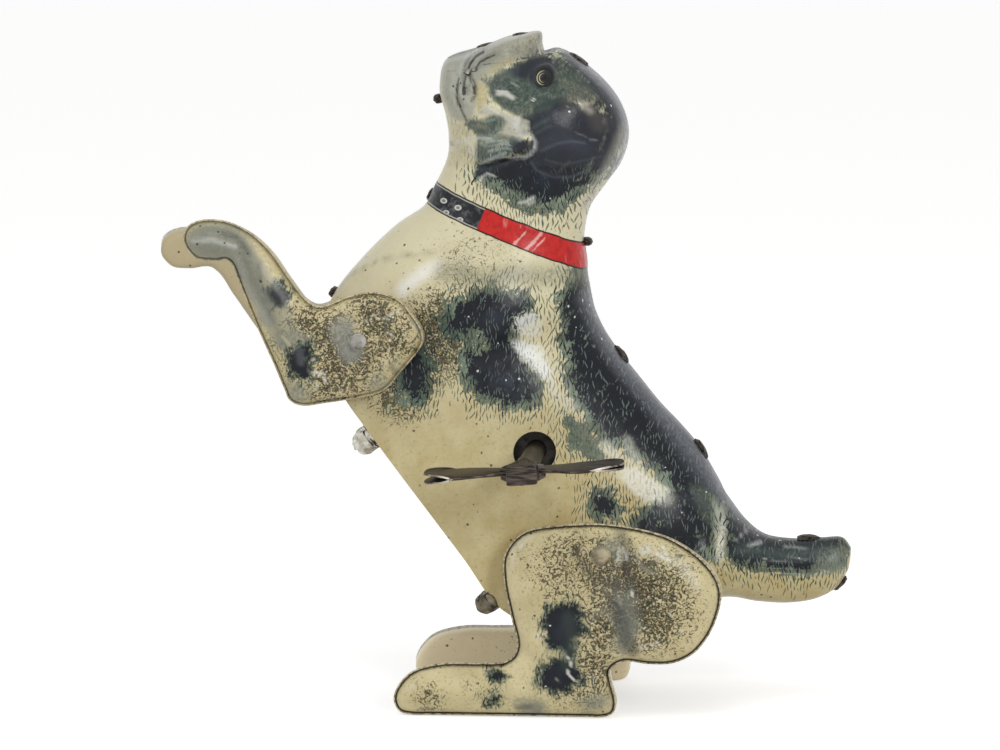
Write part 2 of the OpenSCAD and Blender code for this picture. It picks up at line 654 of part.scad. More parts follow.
// Kick spring: one unbroken wire wound round the hip axle
kick_r = hip_axle_r + kick_wire / 2 + 0.4;
kick_pitch = kick_wire + 0.45;
kick_start_y = 1.2;
kick_sides = 6;
kick_n = 14 * kick_turns;
function kick_path(i) = i <= kick_n
    ? let (a = 40 + 360 * kick_turns * i / kick_n)
        [hip[0] + kick_r * cos(a), kick_start_y + kick_pitch * kick_turns * i / kick_n,
            hip[1] + kick_r * sin(a)]
    : kick_path(kick_n) + (i - kick_n) * 2 * [-sin(40), 0, cos(40)];
module kick_spring() {
    total = kick_n + 2;
    path = [for (i = [0:total]) kick_path(i)];
    function frame_at(i) = let (t = path[min(i + 1, total)] - path[max(i - 1, 0)])
        [cross(t, [0, 1, 0]) / norm(cross(t, [0, 1, 0])), t / norm(t)];
    rings = [for (i = [0:total]) let (f = frame_at(i), up = cross(f[1], f[0]))
        each [for (k = [0:kick_sides - 1])
            path[i] + kick_wire / 2 * (f[0] * cos(360 * k / kick_sides)
                + up * sin(360 * k / kick_sides))]];
    color(steel) polyhedron(points = rings, faces = [
        for (i = [0:total - 1]) for (k = [0:kick_sides - 1])
            let (a = i * kick_sides + k, b = i * kick_sides + (k + 1) % kick_sides)
            each [[a, a + kick_sides, b + kick_sides], [a, b + kick_sides, b]],
        [for (k = [0:kick_sides - 1]) k],
        [for (k = [kick_sides - 1:-1:0]) total * kick_sides + k]]);
}

body_left();
body_right();
front_leg_left();
front_leg_right();
shoulder_rod();
hind_leg_left();
hind_leg_right();
hip_axle();
hip_bushes();
plate_left();
plate_right();
plate_pillars();
key();
key_arbor();
mainspring();
great_wheel();
ratchet_wheel();
click();
click_spring();
second_arbor();
second_wheel();
snail_cam();
fly_arbor();
governor_fly();
kick_lever();
kick_spring();
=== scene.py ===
import math
import random

import bmesh
import bpy
import numpy as np
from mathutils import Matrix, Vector
from mathutils.geometry import delaunay_2d_cdt


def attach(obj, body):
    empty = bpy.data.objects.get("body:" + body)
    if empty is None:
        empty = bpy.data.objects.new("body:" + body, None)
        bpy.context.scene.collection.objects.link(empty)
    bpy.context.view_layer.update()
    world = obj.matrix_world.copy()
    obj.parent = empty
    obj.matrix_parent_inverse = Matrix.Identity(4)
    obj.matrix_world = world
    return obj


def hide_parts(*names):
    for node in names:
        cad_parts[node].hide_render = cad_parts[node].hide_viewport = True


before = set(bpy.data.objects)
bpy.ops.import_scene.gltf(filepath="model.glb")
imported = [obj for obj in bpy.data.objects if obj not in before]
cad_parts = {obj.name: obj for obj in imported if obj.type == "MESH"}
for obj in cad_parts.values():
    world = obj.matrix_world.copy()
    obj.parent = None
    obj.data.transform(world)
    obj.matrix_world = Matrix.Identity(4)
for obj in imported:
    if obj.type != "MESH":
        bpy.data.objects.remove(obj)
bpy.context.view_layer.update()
random.seed(7)
mm = 0.001


# sRGB hex to linear
def linear(hexColour):
    channels = [int(hexColour[i:i + 2], 16) / 255 for i in (1, 3, 5)]
    return [c / 12.92 if c <= 0.04045 else ((c + 0.055) / 1.055) ** 2.4 for c in channels] + [1]


# adds shader nodes to a tree with their settings and links; each call gives back one of its node's sockets
class NodeAdder:
    def __init__(self, tree):
        self.tree = tree

    def __call__(self, kind, inputs=(), out=0, **settings):
        node = self.tree.nodes.new("ShaderNode" + kind)
        for name, value in settings.items():
            setattr(node, name, value)
        for socket, value in inputs.items() if isinstance(inputs, dict) else enumerate(inputs):
            if isinstance(value, bpy.types.NodeSocket):
                self.tree.links.new(value, node.inputs[socket])
            else:
                node.inputs[socket].default_value = value
        return node.outputs[out] if len(node.outputs) else None

    def math(self, operation, *values):
        return self("Math", values, operation=operation)

    def times(self, a, b):
        return self.math("MULTIPLY", a, b)

    def plus(self, a, b):
        return self.math("ADD", a, b)

    def minus(self, a, b):
        return self.math("SUBTRACT", a, b)

    # a times b, plus c
    def fuse(self, a, b, c):
        return self.math("MULTIPLY_ADD", a, b, c)

    # from one range (two limits) to another (two more, or 0 to 1), held within it
    def ramp(self, value, *limits):
        return self("MapRange", [value, *limits])

    # from low to high by a share, or another blend of the two colours
    def mix(self, share, low, high, blend="MIX"):
        return self("Mix", {0: share, 6: low, 7: high}, 2, data_type="RGBA", blend_type=blend)

    def noise(self, place, scale, detail, **more):
        return self("TexNoise", {"Vector": place, "Scale": scale, "Detail": detail, **more})


# an empty material, and the adder of its nodes
def newMaterial(name):
    material = bpy.data.materials.new(name)
    material.use_nodes = True
    material.node_tree.nodes.clear()
    return material, NodeAdder(material.node_tree)


def deselectAll():
    if bpy.context.object and bpy.context.object.mode != "OBJECT":
        bpy.ops.object.mode_set(mode="OBJECT")
    bpy.ops.object.select_all(action="DESELECT")


def makeActive(piece):
    deselectAll()
    piece.select_set(True)
    bpy.context.view_layer.objects.active = piece


def applyModifier(piece, kind, **settings):
    makeActive(piece)
    modifier = piece.modifiers.new(kind.title(), kind)
    for name, value in settings.items():
        setattr(modifier, name, value)
    bpy.ops.object.modifier_apply(modifier=modifier.name)


def smooth(piece, degrees=40):
    makeActive(piece)
    bpy.ops.object.shade_smooth_by_angle(angle=math.radians(degrees))


# curves and distances work in millimetres in side view (x, z)
# Catmull-Rom row values at fractional places along an open list
def splineRow(points, places):
    p = np.array(points, float)
    i = np.clip(places.astype(int), 0, len(p) - 2)
    t = (places - i)[:, None]
    a, b, c, d = p[np.maximum(i - 1, 0)], p[i], p[i + 1], p[np.minimum(i + 2, len(p) - 1)]
    return 0.5 * (2 * b + (c - a) * t + (2 * a - 5 * b + 4 * c - d) * t ** 2
                  + (3 * b - a - 3 * c + d) * t ** 3)


def closedSpline(points, count):
    p = np.array(points, float)
    m = len(p)
    s = np.arange(count) * m / count
    i = s.astype(int)
    t = (s - i)[:, None]
    a, b, c, d = p[(i - 1) % m], p[i % m], p[(i + 1) % m], p[(i + 2) % m]
    return 0.5 * (2 * b + (c - a) * t + (2 * a - 5 * b + 4 * c - d) * t ** 2
                  + (3 * b - a - 3 * c + d) * t ** 3)


# distance from each place to a line through points
def lineDistance(x, z, points, closed=False):
    best = np.full(x.shape, 1e9)
    last = len(points) if closed else len(points) - 1
    for i in range(last):
        (ax, az), (bx, bz) = points[i], points[(i + 1) % len(points)]
        dx, dz = bx - ax, bz - az
        t = np.clip(((x - ax) * dx + (z - az) * dz) / (dx * dx + dz * dz + 1e-12), 0, 1)
        best = np.minimum(best, np.hypot(x - ax - t * dx, z - az - t * dz))
    return best


def isInside(x, z, points):
    inside = np.zeros(x.shape, bool)
    for i in range(len(points)):
        (ax, az), (bx, bz) = points[i - 1], points[i]
        crosses = ((az > z) != (bz > z)) & (x < (bx - ax) * (z - az) / (bz - az + 1e-12) + ax)
        inside ^= crosses
    return inside


# signed distance to the nearest patch outline, negative inside
def patchDistance(x, z, patches):
    best = np.full(x.shape, 30.0)
    for points in patches:
        d = lineDistance(x, z, points, True)
        best = np.minimum(best, np.where(isInside(x, z, points), -d, d))
    return best


def dome(x, z, centre, radius, height):
    d = np.hypot(x - centre[0], z - centre[1]) / radius
    return height * np.exp(-d * d)


# the sum of soft spots, each a centre, a radius and an amount
def spotSum(x, z, spots):
    total = np.zeros(x.shape)
    for centre, radius, amount in spots:
        total += dome(x, z, centre, radius, amount)
    return total


def crease(x, z, points, width, depth):
    d = lineDistance(x, z, points) / width
    return -depth * np.exp(-d * d)


def storeField(piece, name, values):
    field = piece.data.attributes.new(name, "FLOAT", "POINT")
    field.data.foreach_set("value", values.astype(np.float32))


# soft brush marks (colour, strength, half width, softness, points), laid over each other and stored as a colour
# already multiplied by its cover; a mark with no width fills the outline through its points
def storeBrush(piece, x, z, marks, keep=1.0):
    colour, cover = np.zeros((len(x), 3)), np.zeros(len(x))
    for hexColour, strength, width, softness, points in marks:
        d = patchDistance(x, z, [points]) if width is None else lineDistance(x, z, points) - width
        t = np.clip(0.5 - d / softness, 0, 1)
        share = strength * t * t * (3 - 2 * t) * keep
        colour = colour * (1 - share)[:, None] + np.array(linear(hexColour)[:3]) * share[:, None]
        cover = cover * (1 - share) + share
    field = piece.data.attributes.new("brushColour", "FLOAT_COLOR", "POINT")
    field.data.foreach_set("color", np.column_stack([colour, np.ones(len(x))]).astype(np.float32).ravel())
    storeField(piece, "brushCover", cover)


# printing inks, dirt and bare tin, with painted glints, painted groove shade, and the painted light and shade of the
# far legs' inner plates
inks = {name: linear(hexColour) for name, hexColour in {
    "cream": "#b6a678", "creamPale": "#c3b78d", "creamDirty": "#94855d", "creamHigh": "#d9d3b4",
    "legCream": "#d3c79d", "innerPaintedLight": "#ffefc8", "innerPaintedShade": "#b7aa88",
    "dark": "#14171e", "slate": "#333a46", "line": "#1f1f1c", "hairPale": "#7f8c84",
    "greenLow": "#3b4f45", "greenHigh": "#66796b", "greenHair": "#26332f",
    "strokeOlive": "#3c4336", "strokeBrown": "#6a6343",
    "brown": "#4f4331", "olive": "#45472f", "pit": "#29241b", "tan": "#a39268",
    "grey": "#7f8176", "pale": "#d3d2c4", "paintedGlint": "#dcd9cb", "chip": "#c9ccc6", "rust": "#3d3123",
    "lipBright": "#d2c9ae", "lipBrown": "#6b5c48", "paintedGrooveShade": "#241d16",
    "collarRed": "#c22a27", "collarShade": "#9c2220", "collarScuff": "#dba9a0",
    "collarBlack": "#1d1e22", "collarDust": "#5d6063", "collarEdge": "#1c1a19", "collarLine": "#a9a99f",
    "stud": "#c4c4be", "studHole": "#55565a", "eyeBall": "#1a1b1e", "eyeArc": "#cfc79c", "eyeGlint": "#0f0f11",
}.items()}
print("helpers ready")


def placeInMm(add):
    place = add("TexCoord", out="Object")
    return add("VectorMath", [place, (1000, 1000, 1000)], operation="MULTIPLY")


# short S-shaped printed hairs, one in each cell of spacing by length (mm), and a luck from 0 to 1 for each cell;
# a slow noise of scale wander[0] leans the columns by up to wander[1] cells
def printedHairs(add, place, spacing, length, wander, thick):
    drift = add.noise(place, wander[0], 1.0)
    drift = add.times(drift, wander[1])
    axes = add("SeparateXYZ", [place]).node.outputs
    x = add.fuse(axes["X"], 1 / spacing, drift)
    column = add.math("FLOOR", x)
    shift = add("TexWhiteNoise", {"W": column}, noise_dimensions="1D")
    z = add.fuse(axes["Z"], 1 / length, shift)
    row = add.math("FLOOR", z)
    cell = add("CombineXYZ", [column, row, spacing])
    luck = add("TexWhiteNoise", {"Vector": cell}, noise_dimensions="3D")
    lean = add.math("FRACT", add.times(luck, 17.3))
    u = add.minus(add.math("FRACT", x), 0.5)
    v = add.minus(add.math("FRACT", z), 0.5)
    lean = add.times(add.ramp(lean, 0, 1, -0.55, 0.55), v)
    bend = add.math("SINE", add.times(v, 6.0))
    curl = add.math("FRACT", add.times(luck, 29.1))
    curl = add.ramp(curl, 0, 1, -0.26, 0.44)
    bend = add.fuse(bend, curl, lean)
    off = add.math("ABSOLUTE", add.minus(u, bend))
    square = add.times(v, v)
    taper = add.fuse(square, -4 * thick, thick)
    inside = add.minus(taper, off)
    return add("MapRange", [inside, -0.05, 0.06], interpolation_type="SMOOTHSTEP"), luck


# hairs: spacing and length in mm, slow lean (scale, amount in cells) and thickness; noise scales are per mm
tinPrint = {
    "outerHairs": (0.45, 1.4, (0.16, 6.0), 0.21), "innerHairs": (0.4, 1.2, (0.2, 5.0), 0.19),
    "patchScale": 0.28, "fineScale": 2.3, "swirlScale": 0.6, "grainScale": 4.6, "breakScale": 0.8, "chipScale": 0.5,
    "roughness": (0.26, 0.42), "specular": 0.14, "coat": 0.11, "coatRoughness": 0.2,
    "dentScale": 0.55, "dentDepth": 0.00022, "pitDepth": 0.00009,
}


# Tinplate, printed by lithography and then pressed: flat ink under a glossy varnish on a smooth sheet. The eye gets
# a cream ground, black patches with a green halo, hairs 0.45 mm apart and 1.4 mm long drawn at their edges, brown and
# olive scribble 0.2 mm wide where hands rubbed it, chips to bright tin, and dents 2 mm wide in the gloss.
def lithoTinplate(name, cream, isLeg):
    material, add = newMaterial(name)
    place = placeInMm(add)
    moved = add("Mapping", {"Vector": place, "Location": (3.7, 0, 5.2)})
    patchy = add.noise(place, tinPrint["patchScale"], 3.0)
    fine = add.noise(place, tinPrint["fineScale"], 3.0, Roughness=0.65, Distortion=0.6)
    swirl = add.noise(moved, tinPrint["swirlScale"], 1.0, Distortion=1.5)
    grain = add.noise(place, tinPrint["grainScale"], 2.0)
    breaks = add.noise(moved, tinPrint["breakScale"], 1.0)
    outer, outerLuck = printedHairs(add, place, *tinPrint["outerHairs"])
    inner, innerLuck = printedHairs(add, moved, *tinPrint["innerHairs"])
    dark, green, lines, wear, pale, grey, soft, rim, cover = [
        add("Attribute", out="Fac", attribute_name=field)
        for field in ("darkField", "greenField", "lineField", "wearField", "paleField", "greyField", "softField",
                      "rimField", "brushCover")]
    brush = add("Attribute", out="Color", attribute_name="brushColour")
    layers = []

    # the cream ground: yellowed in patches, with dirt, and paler towards the neck
    base = add.mix(add.ramp(patchy, 0.38, 0.66), cream, inks["creamPale"])
    layers.append((add.ramp(fine, 0.5, 0.72, 0, 0.35), inks["creamDirty"]))
    if isLeg:
        # the far legs' inner plates: painted light on the hind legs, lightened against the shade they stand in, and
        # painted shade on the foreleg, set by rimShade
        shade = add("Attribute", out="Fac", attribute_name="rimShade")
        layers.append((add.ramp(rim, -0.4, -0.6),
                       add.mix(add.ramp(shade, 0.4, 0.9), inks["innerPaintedShade"], inks["innerPaintedLight"])))
    else:
        height = add("SeparateXYZ", [place], "Z")
        layers.append((add.ramp(height, 34, 60, 0, 0.8), inks["creamHigh"]))
    # worn places: tan ground, brown and olive scribble, specks and dark pits, and painted glints as bright points
    soil = add.mix(add.ramp(breaks, 0.42, 0.58), inks["brown"], inks["olive"])
    layers.append((add.ramp(wear, 0, 0.9, 0, 0.45), inks["tan"]))
    wave = add.math("SINE", add.times(swirl, 26.0))
    ragged = add.plus(add.fuse(grain, 0.5, 0.25), fine)
    reach = add.fuse(wear, 0.9, add.fuse(wave, 0.5, ragged))
    layers.append((add.ramp(reach, 1.62, 1.84, 0, 0.85), soil))
    reach = add.fuse(wear, 0.2, fine)
    specks = add.times(add.ramp(reach, 0.68, 0.74, 0, 0.5), add.ramp(wear, 0.04, 0.3))
    layers.append((specks, soil))
    reach = add.fuse(wear, 0.1, grain)
    layers.append((add.times(add.ramp(reach, 0.63, 0.68, 0, 0.85), add.ramp(wear, 0.1, 0.5)), inks["pit"]))
    layers.append((add.times(add.ramp(grain, 0.37, 0.32, 0, 0.75), add.ramp(wear, 0.3, 0.8)), inks["paintedGlint"]))
    # grey tarnish
    reach = add.fuse(fine, 1.2, add.minus(grey, 0.6))
    layers.append((add.ramp(reach, 0.2, 0.9, 0, 0.85), inks["grey"]))
    # loose hairs on the cream near each patch
    crisp = add.minus(1.0, soft)
    near = add.ramp(add.math("MINIMUM", dark, green), 4.2, 0.9)
    near = add.times(near, add.ramp(patchy, 0.36, 0.58, 0.4, 1.0))
    present = add.math("LESS_THAN", outerLuck, near)
    loose = add.times(add.times(outer, present), crisp)
    layers.append((add.times(loose, 0.8),
                   add.mix(add.ramp(breaks, 0.42, 0.58), inks["strokeOlive"], inks["strokeBrown"])))
    # green halo and patches, then the black patches: both end in hairs, or blend softly on the head and legs
    edgeLow = add.fuse(soft, -0.45, -0.06)
    edgeHigh = add.fuse(soft, 0.35, 0.12)
    rag = add.fuse(add.plus(fine, breaks), 2.6, -2.6)
    stroke = add.times(add.times(outer, outerLuck), add.fuse(soft, -0.65, 1.0))
    halo = add.minus(dark, add.fuse(crisp, 0.95, 0.25))
    halo = add.math("MINIMUM", halo, green)
    reach = add.minus(add.fuse(stroke, 2.4, rag), halo)
    greenShare = add.ramp(reach, edgeLow, edgeHigh, 0, add.ramp(fine, 0.38, 0.6, 0.98, 0.74))
    layers.append((greenShare, add.mix(add.ramp(patchy, 0.45, 0.68), inks["greenLow"], inks["greenHigh"])))
    present = add.math("LESS_THAN", innerLuck, 0.55)
    hair = add.times(add.times(inner, present), greenShare)
    layers.append((add.times(hair, add.fuse(soft, -0.5, 0.7)), inks["greenHair"]))
    # pale patches: on the legs chips to bright tin, on the body mostly painted glare
    layers.append((add.times(add.ramp(pale, 0.1, 0.9, 0, 0.9), add.ramp(fine, 0.76, 0.42)), inks["pale"]))
    reach = add.minus(add.fuse(stroke, 1.9, rag), dark)
    layers.append((add.ramp(reach, edgeLow, edgeHigh, 0, 1), inks["dark"]))
    layers.append((add.times(add.ramp(patchy, 0.45, 0.65, 0, 0.7), add.ramp(dark, -0.5, -3)), inks["slate"]))
    group = add.ramp(breaks, 0.42, 0.62, 0.05, 0.75)
    present = add.math("LESS_THAN", innerLuck, group)
    hair = add.times(add.times(inner, present), add.ramp(dark, 0.4, -0.2, 0, 0.5))
    hair = add.times(hair, add.ramp(dark, -2.6, -0.8, 0.35, 1.0))
    layers.append((add.times(hair, crisp), inks["hairPale"]))
    for share, colour in layers:
        base = add.mix(share, base, colour)
    # soft brush marks stored on the piece, among them painted highlights, glare, sheen and shade, broken by the grain,
    # with the hairs drawn over them
    veil = add.ramp(fine, 0.36, 0.64, 1.0, add.fuse(soft, 0.3, 0.4))
    cover = add.times(cover, veil)
    brush = add.mix(1.0, brush, veil, "MULTIPLY")
    base = add.mix(cover, base, (0, 0, 0, 1))
    base = add.mix(1.0, base, brush, "ADD")
    over = add.times(add.times(loose, cover), 0.6)
    base = add.mix(over, base, inks["strokeOlive"])
    tone = add.ramp(fine, 0.3, 0.7, 0.8, 1.12)
    base = add.mix(add.ramp(cover, 0.1, 0.6), base, add.mix(1.0, base, tone, "MULTIPLY"))
    base = add.mix(add.ramp(lines, 0.09, -0.05, 0, 0.9), base, inks["line"])
    if isLeg:
        base = rimBands(add, base, rim, fine)
    else:
        base = collarPrint(add, place, base)
        base = eyePrint(add, place, base)
    # chips to bare tin on the black, 0.3 to 0.5 mm across and about 2 mm apart, and specks of rust on the cream
    cells = add("TexVoronoi", {"Vector": place, "Scale": tinPrint["chipScale"]}, "Distance", feature="F1")
    ragged = add.fuse(fine, 0.14, cells)
    chips = add.times(add.math("LESS_THAN", ragged, 0.155), add.ramp(dark, 0.3, -0.3))
    base = add.mix(chips, base, inks["chip"])
    cells = add("TexVoronoi", {"Vector": moved, "Scale": tinPrint["chipScale"]}, "Distance", feature="F1")
    ragged = add.fuse(fine, 0.2, cells)
    rust = add.times(add.math("LESS_THAN", ragged, 0.18), add.ramp(dark, 0.5, 1.5, 0, 0.85))
    base = add.mix(rust, base, inks["rust"])
    waves = add.noise(place, tinPrint["dentScale"], 3.0)
    dents = add("Bump", {"Height": waves, "Distance": tinPrint["dentDepth"], "Strength": 0.7})
    rough = add.times(fine, add.ramp(wear, 0.1, 0.8, 0.15, 1.0))
    pits = add("Bump", {"Height": rough, "Distance": tinPrint["pitDepth"], "Strength": 0.8, "Normal": dents})
    # old varnish: duller than a fresh one
    dull = add.ramp(fine, 0.3, 0.8, *tinPrint["roughness"])
    shader = add("BsdfPrincipled", {
        "Base Color": base, "Roughness": dull, "Normal": pits, "Specular IOR Level": tinPrint["specular"],
        "Coat Weight": tinPrint["coat"], "Coat Roughness": tinPrint["coatRoughness"]})
    add("OutputMaterial", [shader])
    return material


# the turned edge of a leg pressing: a bright lip, and painted shade in the groove inside it
def rimBands(add, base, rim, fine):
    shade = add("Attribute", out="Fac", attribute_name="rimShade")
    edge = add.mix(add.ramp(fine, 0.42, 0.62), inks["lipBright"], inks["lipBrown"])
    lip = add.times(add.ramp(rim, 0.25, 0.19, 0, 0.9), add.ramp(rim, -0.6, -0.2))
    lip = add.times(lip, shade)
    base = add.mix(lip, base, edge)
    wide = add.fuse(fine, 0.5, rim)
    groove = add.times(add.ramp(rim, 0.17, 0.24), add.ramp(wide, 0.82, 0.6, 0, 0.9))
    groove = add.times(groove, shade)
    return add.mix(groove, base, inks["paintedGrooveShade"])


# the collar is a plane band across the neck (mm along its normal), black in front of the joint and red behind it;
# studs are (x, z, half length, half height) on the black
collar = {"normal": (0.3789, 0.9256), "low": 51.75, "high": 54.95, "edge": 0.2, "joint": 42.55,
          "studs": [(-21.3, 66.35, 0.5, 0.36), (-19.3, 65.6, 0.5, 0.36), (-20.9, 64.9, 0.45, 0.3),
                    (-19.0, 64.1, 0.45, 0.3)],
          "scratches": [((-12.7, 60.1), (-10.3, 62.7), 0.2), ((-10.9, 59.7), (-8.2, 62.5), 0.24),
                        ((-9.6, 60.0), (-7.9, 61.8), 0.08)]}


def collarPrint(add, place, base):
    axes = add("SeparateXYZ", [place]).node.outputs
    rough = add.noise(place, 1.3, 3.0)
    slow = add.noise(place, 0.5, 1.0)
    height = add.fuse(axes["Z"], collar["normal"][1], add.times(slow, 0.25))
    height = add.fuse(axes["X"], collar["normal"][0], height)
    shares = []
    for inset in (0.125, 0.125 + collar["edge"], 0.125 + collar["edge"] * 1.7):
        low, high = collar["low"] + inset, collar["high"] + 0.25 - inset
        shares.append(add.times(add.ramp(height, low - 0.04, low + 0.04),
                                add.ramp(height, high + 0.04, high - 0.04)))
    band, inner, field = shares
    along = add.fuse(axes["Z"], -0.41, axes["X"])
    along = add.plus(along, collar["joint"])
    isBlack = add.ramp(along, 0.06, -0.06)
    red = add.mix(add.ramp(rough, 0.45, 0.75), inks["collarRed"], inks["collarShade"])
    long = add("Mapping", {"Vector": place, "Scale": (1, 1, 0.3), "Rotation": (0, 0.9, 0)})
    scuff = add.noise(long, 0.9, 3.0)
    red = add.mix(add.ramp(scuff, 0.62, 0.72, 0, 0.6), red, inks["collarScuff"])
    for (ax, az), (bx, bz), half in collar["scratches"]:
        size = math.hypot(bx - ax, bz - az)
        nx, nz = (bz - az) / size, -(bx - ax) / size
        off = add.fuse(axes["X"], nx, -(ax * nx + az * nz))
        off = add.fuse(axes["Z"], nz, off)
        off = add.fuse(rough, 0.5, add.math("ABSOLUTE", off))
        run = add.plus(axes["X"], -(ax + bx) / 2)
        run = add.math("ABSOLUTE", run)
        mark = add.times(add.ramp(off, half + 0.3, half + 0.16, 0, 0.85),
                         add.ramp(run, (bx - ax) / 2 + 0.1, (bx - ax) / 2 - 0.2))
        red = add.mix(mark, red, inks["collarScuff"])
    black = add.mix(add.ramp(rough, 0.5, 0.72), inks["collarBlack"], inks["collarDust"])
    for x, z, wide, high in collar["studs"]:
        dx = add.times(add.plus(axes["X"], -x), 1 / wide)
        dz = add.times(add.plus(axes["Z"], -z), 1 / high)
        d = add.fuse(dx, dx, add.times(dz, dz))
        for share, colour in ((add.ramp(d, 1.1, 0.8), inks["stud"]),
                              (add.ramp(d, 0.35, 0.2, 0, 0.8), inks["studHole"])):
            black = add.mix(share, black, colour)
    fill = add.mix(isBlack, red, black)
    whiteLine = add.times(add.minus(inner, field), isBlack)
    for share, colour in ((band, inks["collarEdge"]), (inner, fill), (whiteLine, inks["collarLine"])):
        base = add.mix(share, base, colour)
    return base


# a printed eye: a dark ball, with thin pale arcs round its front half and one glint; its relief is rings of a
# height, a radius and a width in mm
eye = {"centre": (-8.0, 82.7), "ball": 1.2, "arcs": [(0.86, 0.05), (0.56, 0.04)], "glint": 0.12,
       "relief": [(0.42, 0, 0.8), (0.22, 1.3, 0.35), (-0.3, 2.1, 0.7)]}


def eyePrint(add, place, base):
    axes = add("SeparateXYZ", [place]).node.outputs
    dx = add.plus(axes["X"], -eye["centre"][0])
    dz = add.plus(axes["Z"], -eye["centre"][1])
    square = add.fuse(dx, dx, add.times(dz, dz))
    d = add.math("SQRT", square)
    marks = [(add.ramp(d, eye["ball"] + 0.2, eye["ball"] - 0.1), inks["eyeBall"])]
    front = add.ramp(dx, 0.15, -0.55, 0.02, 0.7)
    for radius, half in eye["arcs"]:
        off = add.math("ABSOLUTE", add.plus(d, -radius))
        marks.append((add.times(add.ramp(off, half + 0.05, half - 0.02), front), inks["eyeArc"]))
    marks.append((add.ramp(d, eye["glint"] + 0.05, eye["glint"] - 0.03), inks["eyeGlint"]))
    for share, colour in marks:
        base = add.mix(share, base, colour)
    return base


# Bare metal, rolled, turned or stamped and then tarnished: darker patches a millimetre or two across, rubbed grain
# under 0.5 mm that breaks up the gloss, and fine pits.
def bareMetal(name, hexColour, roughness, tarnishHex, grain=2.5, metallic=1.0, bump=0.00003):
    material, add = newMaterial(name)
    place = placeInMm(add)
    patches = add.noise(place, 0.8, 4.0, Distortion=0.4)
    fine = add.noise(place, grain * 2, 3.0)
    colour = add.mix(add.ramp(patches, 0.42, 0.68), linear(hexColour), linear(tarnishHex))
    dull = add.ramp(fine, 0.3, 0.75, roughness - 0.07, roughness + 0.12)
    height = add.noise(place, grain, 4.0)
    pits = add("Bump", {"Height": height, "Distance": bump, "Strength": 0.7})
    shader = add("BsdfPrincipled", {"Base Color": colour, "Roughness": dull, "Metallic": metallic, "Normal": pits})
    add("OutputMaterial", [shader])
    return material


# the folded key is steel sheet, drawn grain along its wings: brown-grey with dark blots, bright at the edges and tips
# where fingers rub, which is partly a painted highlight
def rubbedKeySteel(name):
    material, add = newMaterial(name)
    place = placeInMm(add)
    long = add("Mapping", {"Vector": place, "Scale": (0.25, 1.0, 2.2)})
    streaks = add.noise(long, 1.6, 4.0)
    blots = add.noise(place, 1.1, 3.0)
    edge = add("Attribute", out="Fac", attribute_name="rubAndHighlightField")
    base = add.mix(add.ramp(streaks, 0.4, 0.62), linear("#2d2826"), linear("#5d534b"))
    base = add.mix(add.ramp(blots, 0.55, 0.72, 0, 0.7), base, linear("#2b2723"))
    # bright where rubbed, and a painted highlight on the edges, tips and block corners
    rub = add.fuse(streaks, 0.8, edge)
    rub = add.ramp(rub, 0.95, 1.25, 0, 0.85)
    base = add.mix(rub, base, linear("#c2bbae"))
    dull = add.ramp(streaks, 0.3, 0.7, 0.34, 0.55)
    pits = add("Bump", {"Height": streaks, "Distance": 0.00008, "Strength": 0.8})
    shader = add("BsdfPrincipled", {"Base Color": base, "Roughness": dull, "Metallic": 0.85, "Normal": pits})
    add("OutputMaterial", [shader])
    return material


bodyCoat = lithoTinplate("lithographedTinplateCoat", inks["cream"], False)
legCoat = lithoTinplate("lithographedLegCoat", inks["legCream"], True)
bareTin = bareMetal("bareTinplateInside", "#8a877d", 0.42, "#4f4b42")  # unprinted inner face, greyed by age
cutEdge = bareMetal("tinplateCutEdge", "#a59e90", 0.42, "#5e5346")  # sheared edge, bright with brown rust
wornSteel = bareMetal("wornSteel", "#97958f", 0.36, "#5d5850")  # rods and arbors rubbed bright
# the motor plates are darkened further as painted shade, so the inside seen through the key hole is dark
oiledAndShadedSteel = bareMetal("oiledPlateSteelAndShade", "#37332f", 0.42, "#1d1a17", metallic=0.8)  # motor plates under old oil
rivetSteel = bareMetal("brownedRivetSteel", "#a0967c", 0.5, "#574e3d", metallic=0.55)  # hammered, browned rivet
keySteel = rubbedKeySteel("tarnishedKeySteel")
springSteel = bareMetal("bluedSpringSteel", "#5a5d66", 0.3, "#3b3d46")  # hardened and blued strip and wire
tabSteel = bareMetal("rustedSeamTab", "#453e38", 0.5, "#1f1a16", 2.2, 0.8, 0.0001)  # bent tabs, rusted brown-black
lugBright = bareMetal("rubbedLugTin", "#c9c6bb", 0.34, "#77705f", 1.4, 0.9, 0.00012)  # crumpled lug, rubbed bright
lugBrown = bareMetal("tarnishedLug", "#7b7464", 0.46, "#4b4438", 1.8, 0.85, 0.0001)  # flat lug, grey-brown
dullBrass = bareMetal("dullBrass", "#a98a52", 0.34, "#6f5a38")  # stamped wheels, tarnished
print("materials ready")


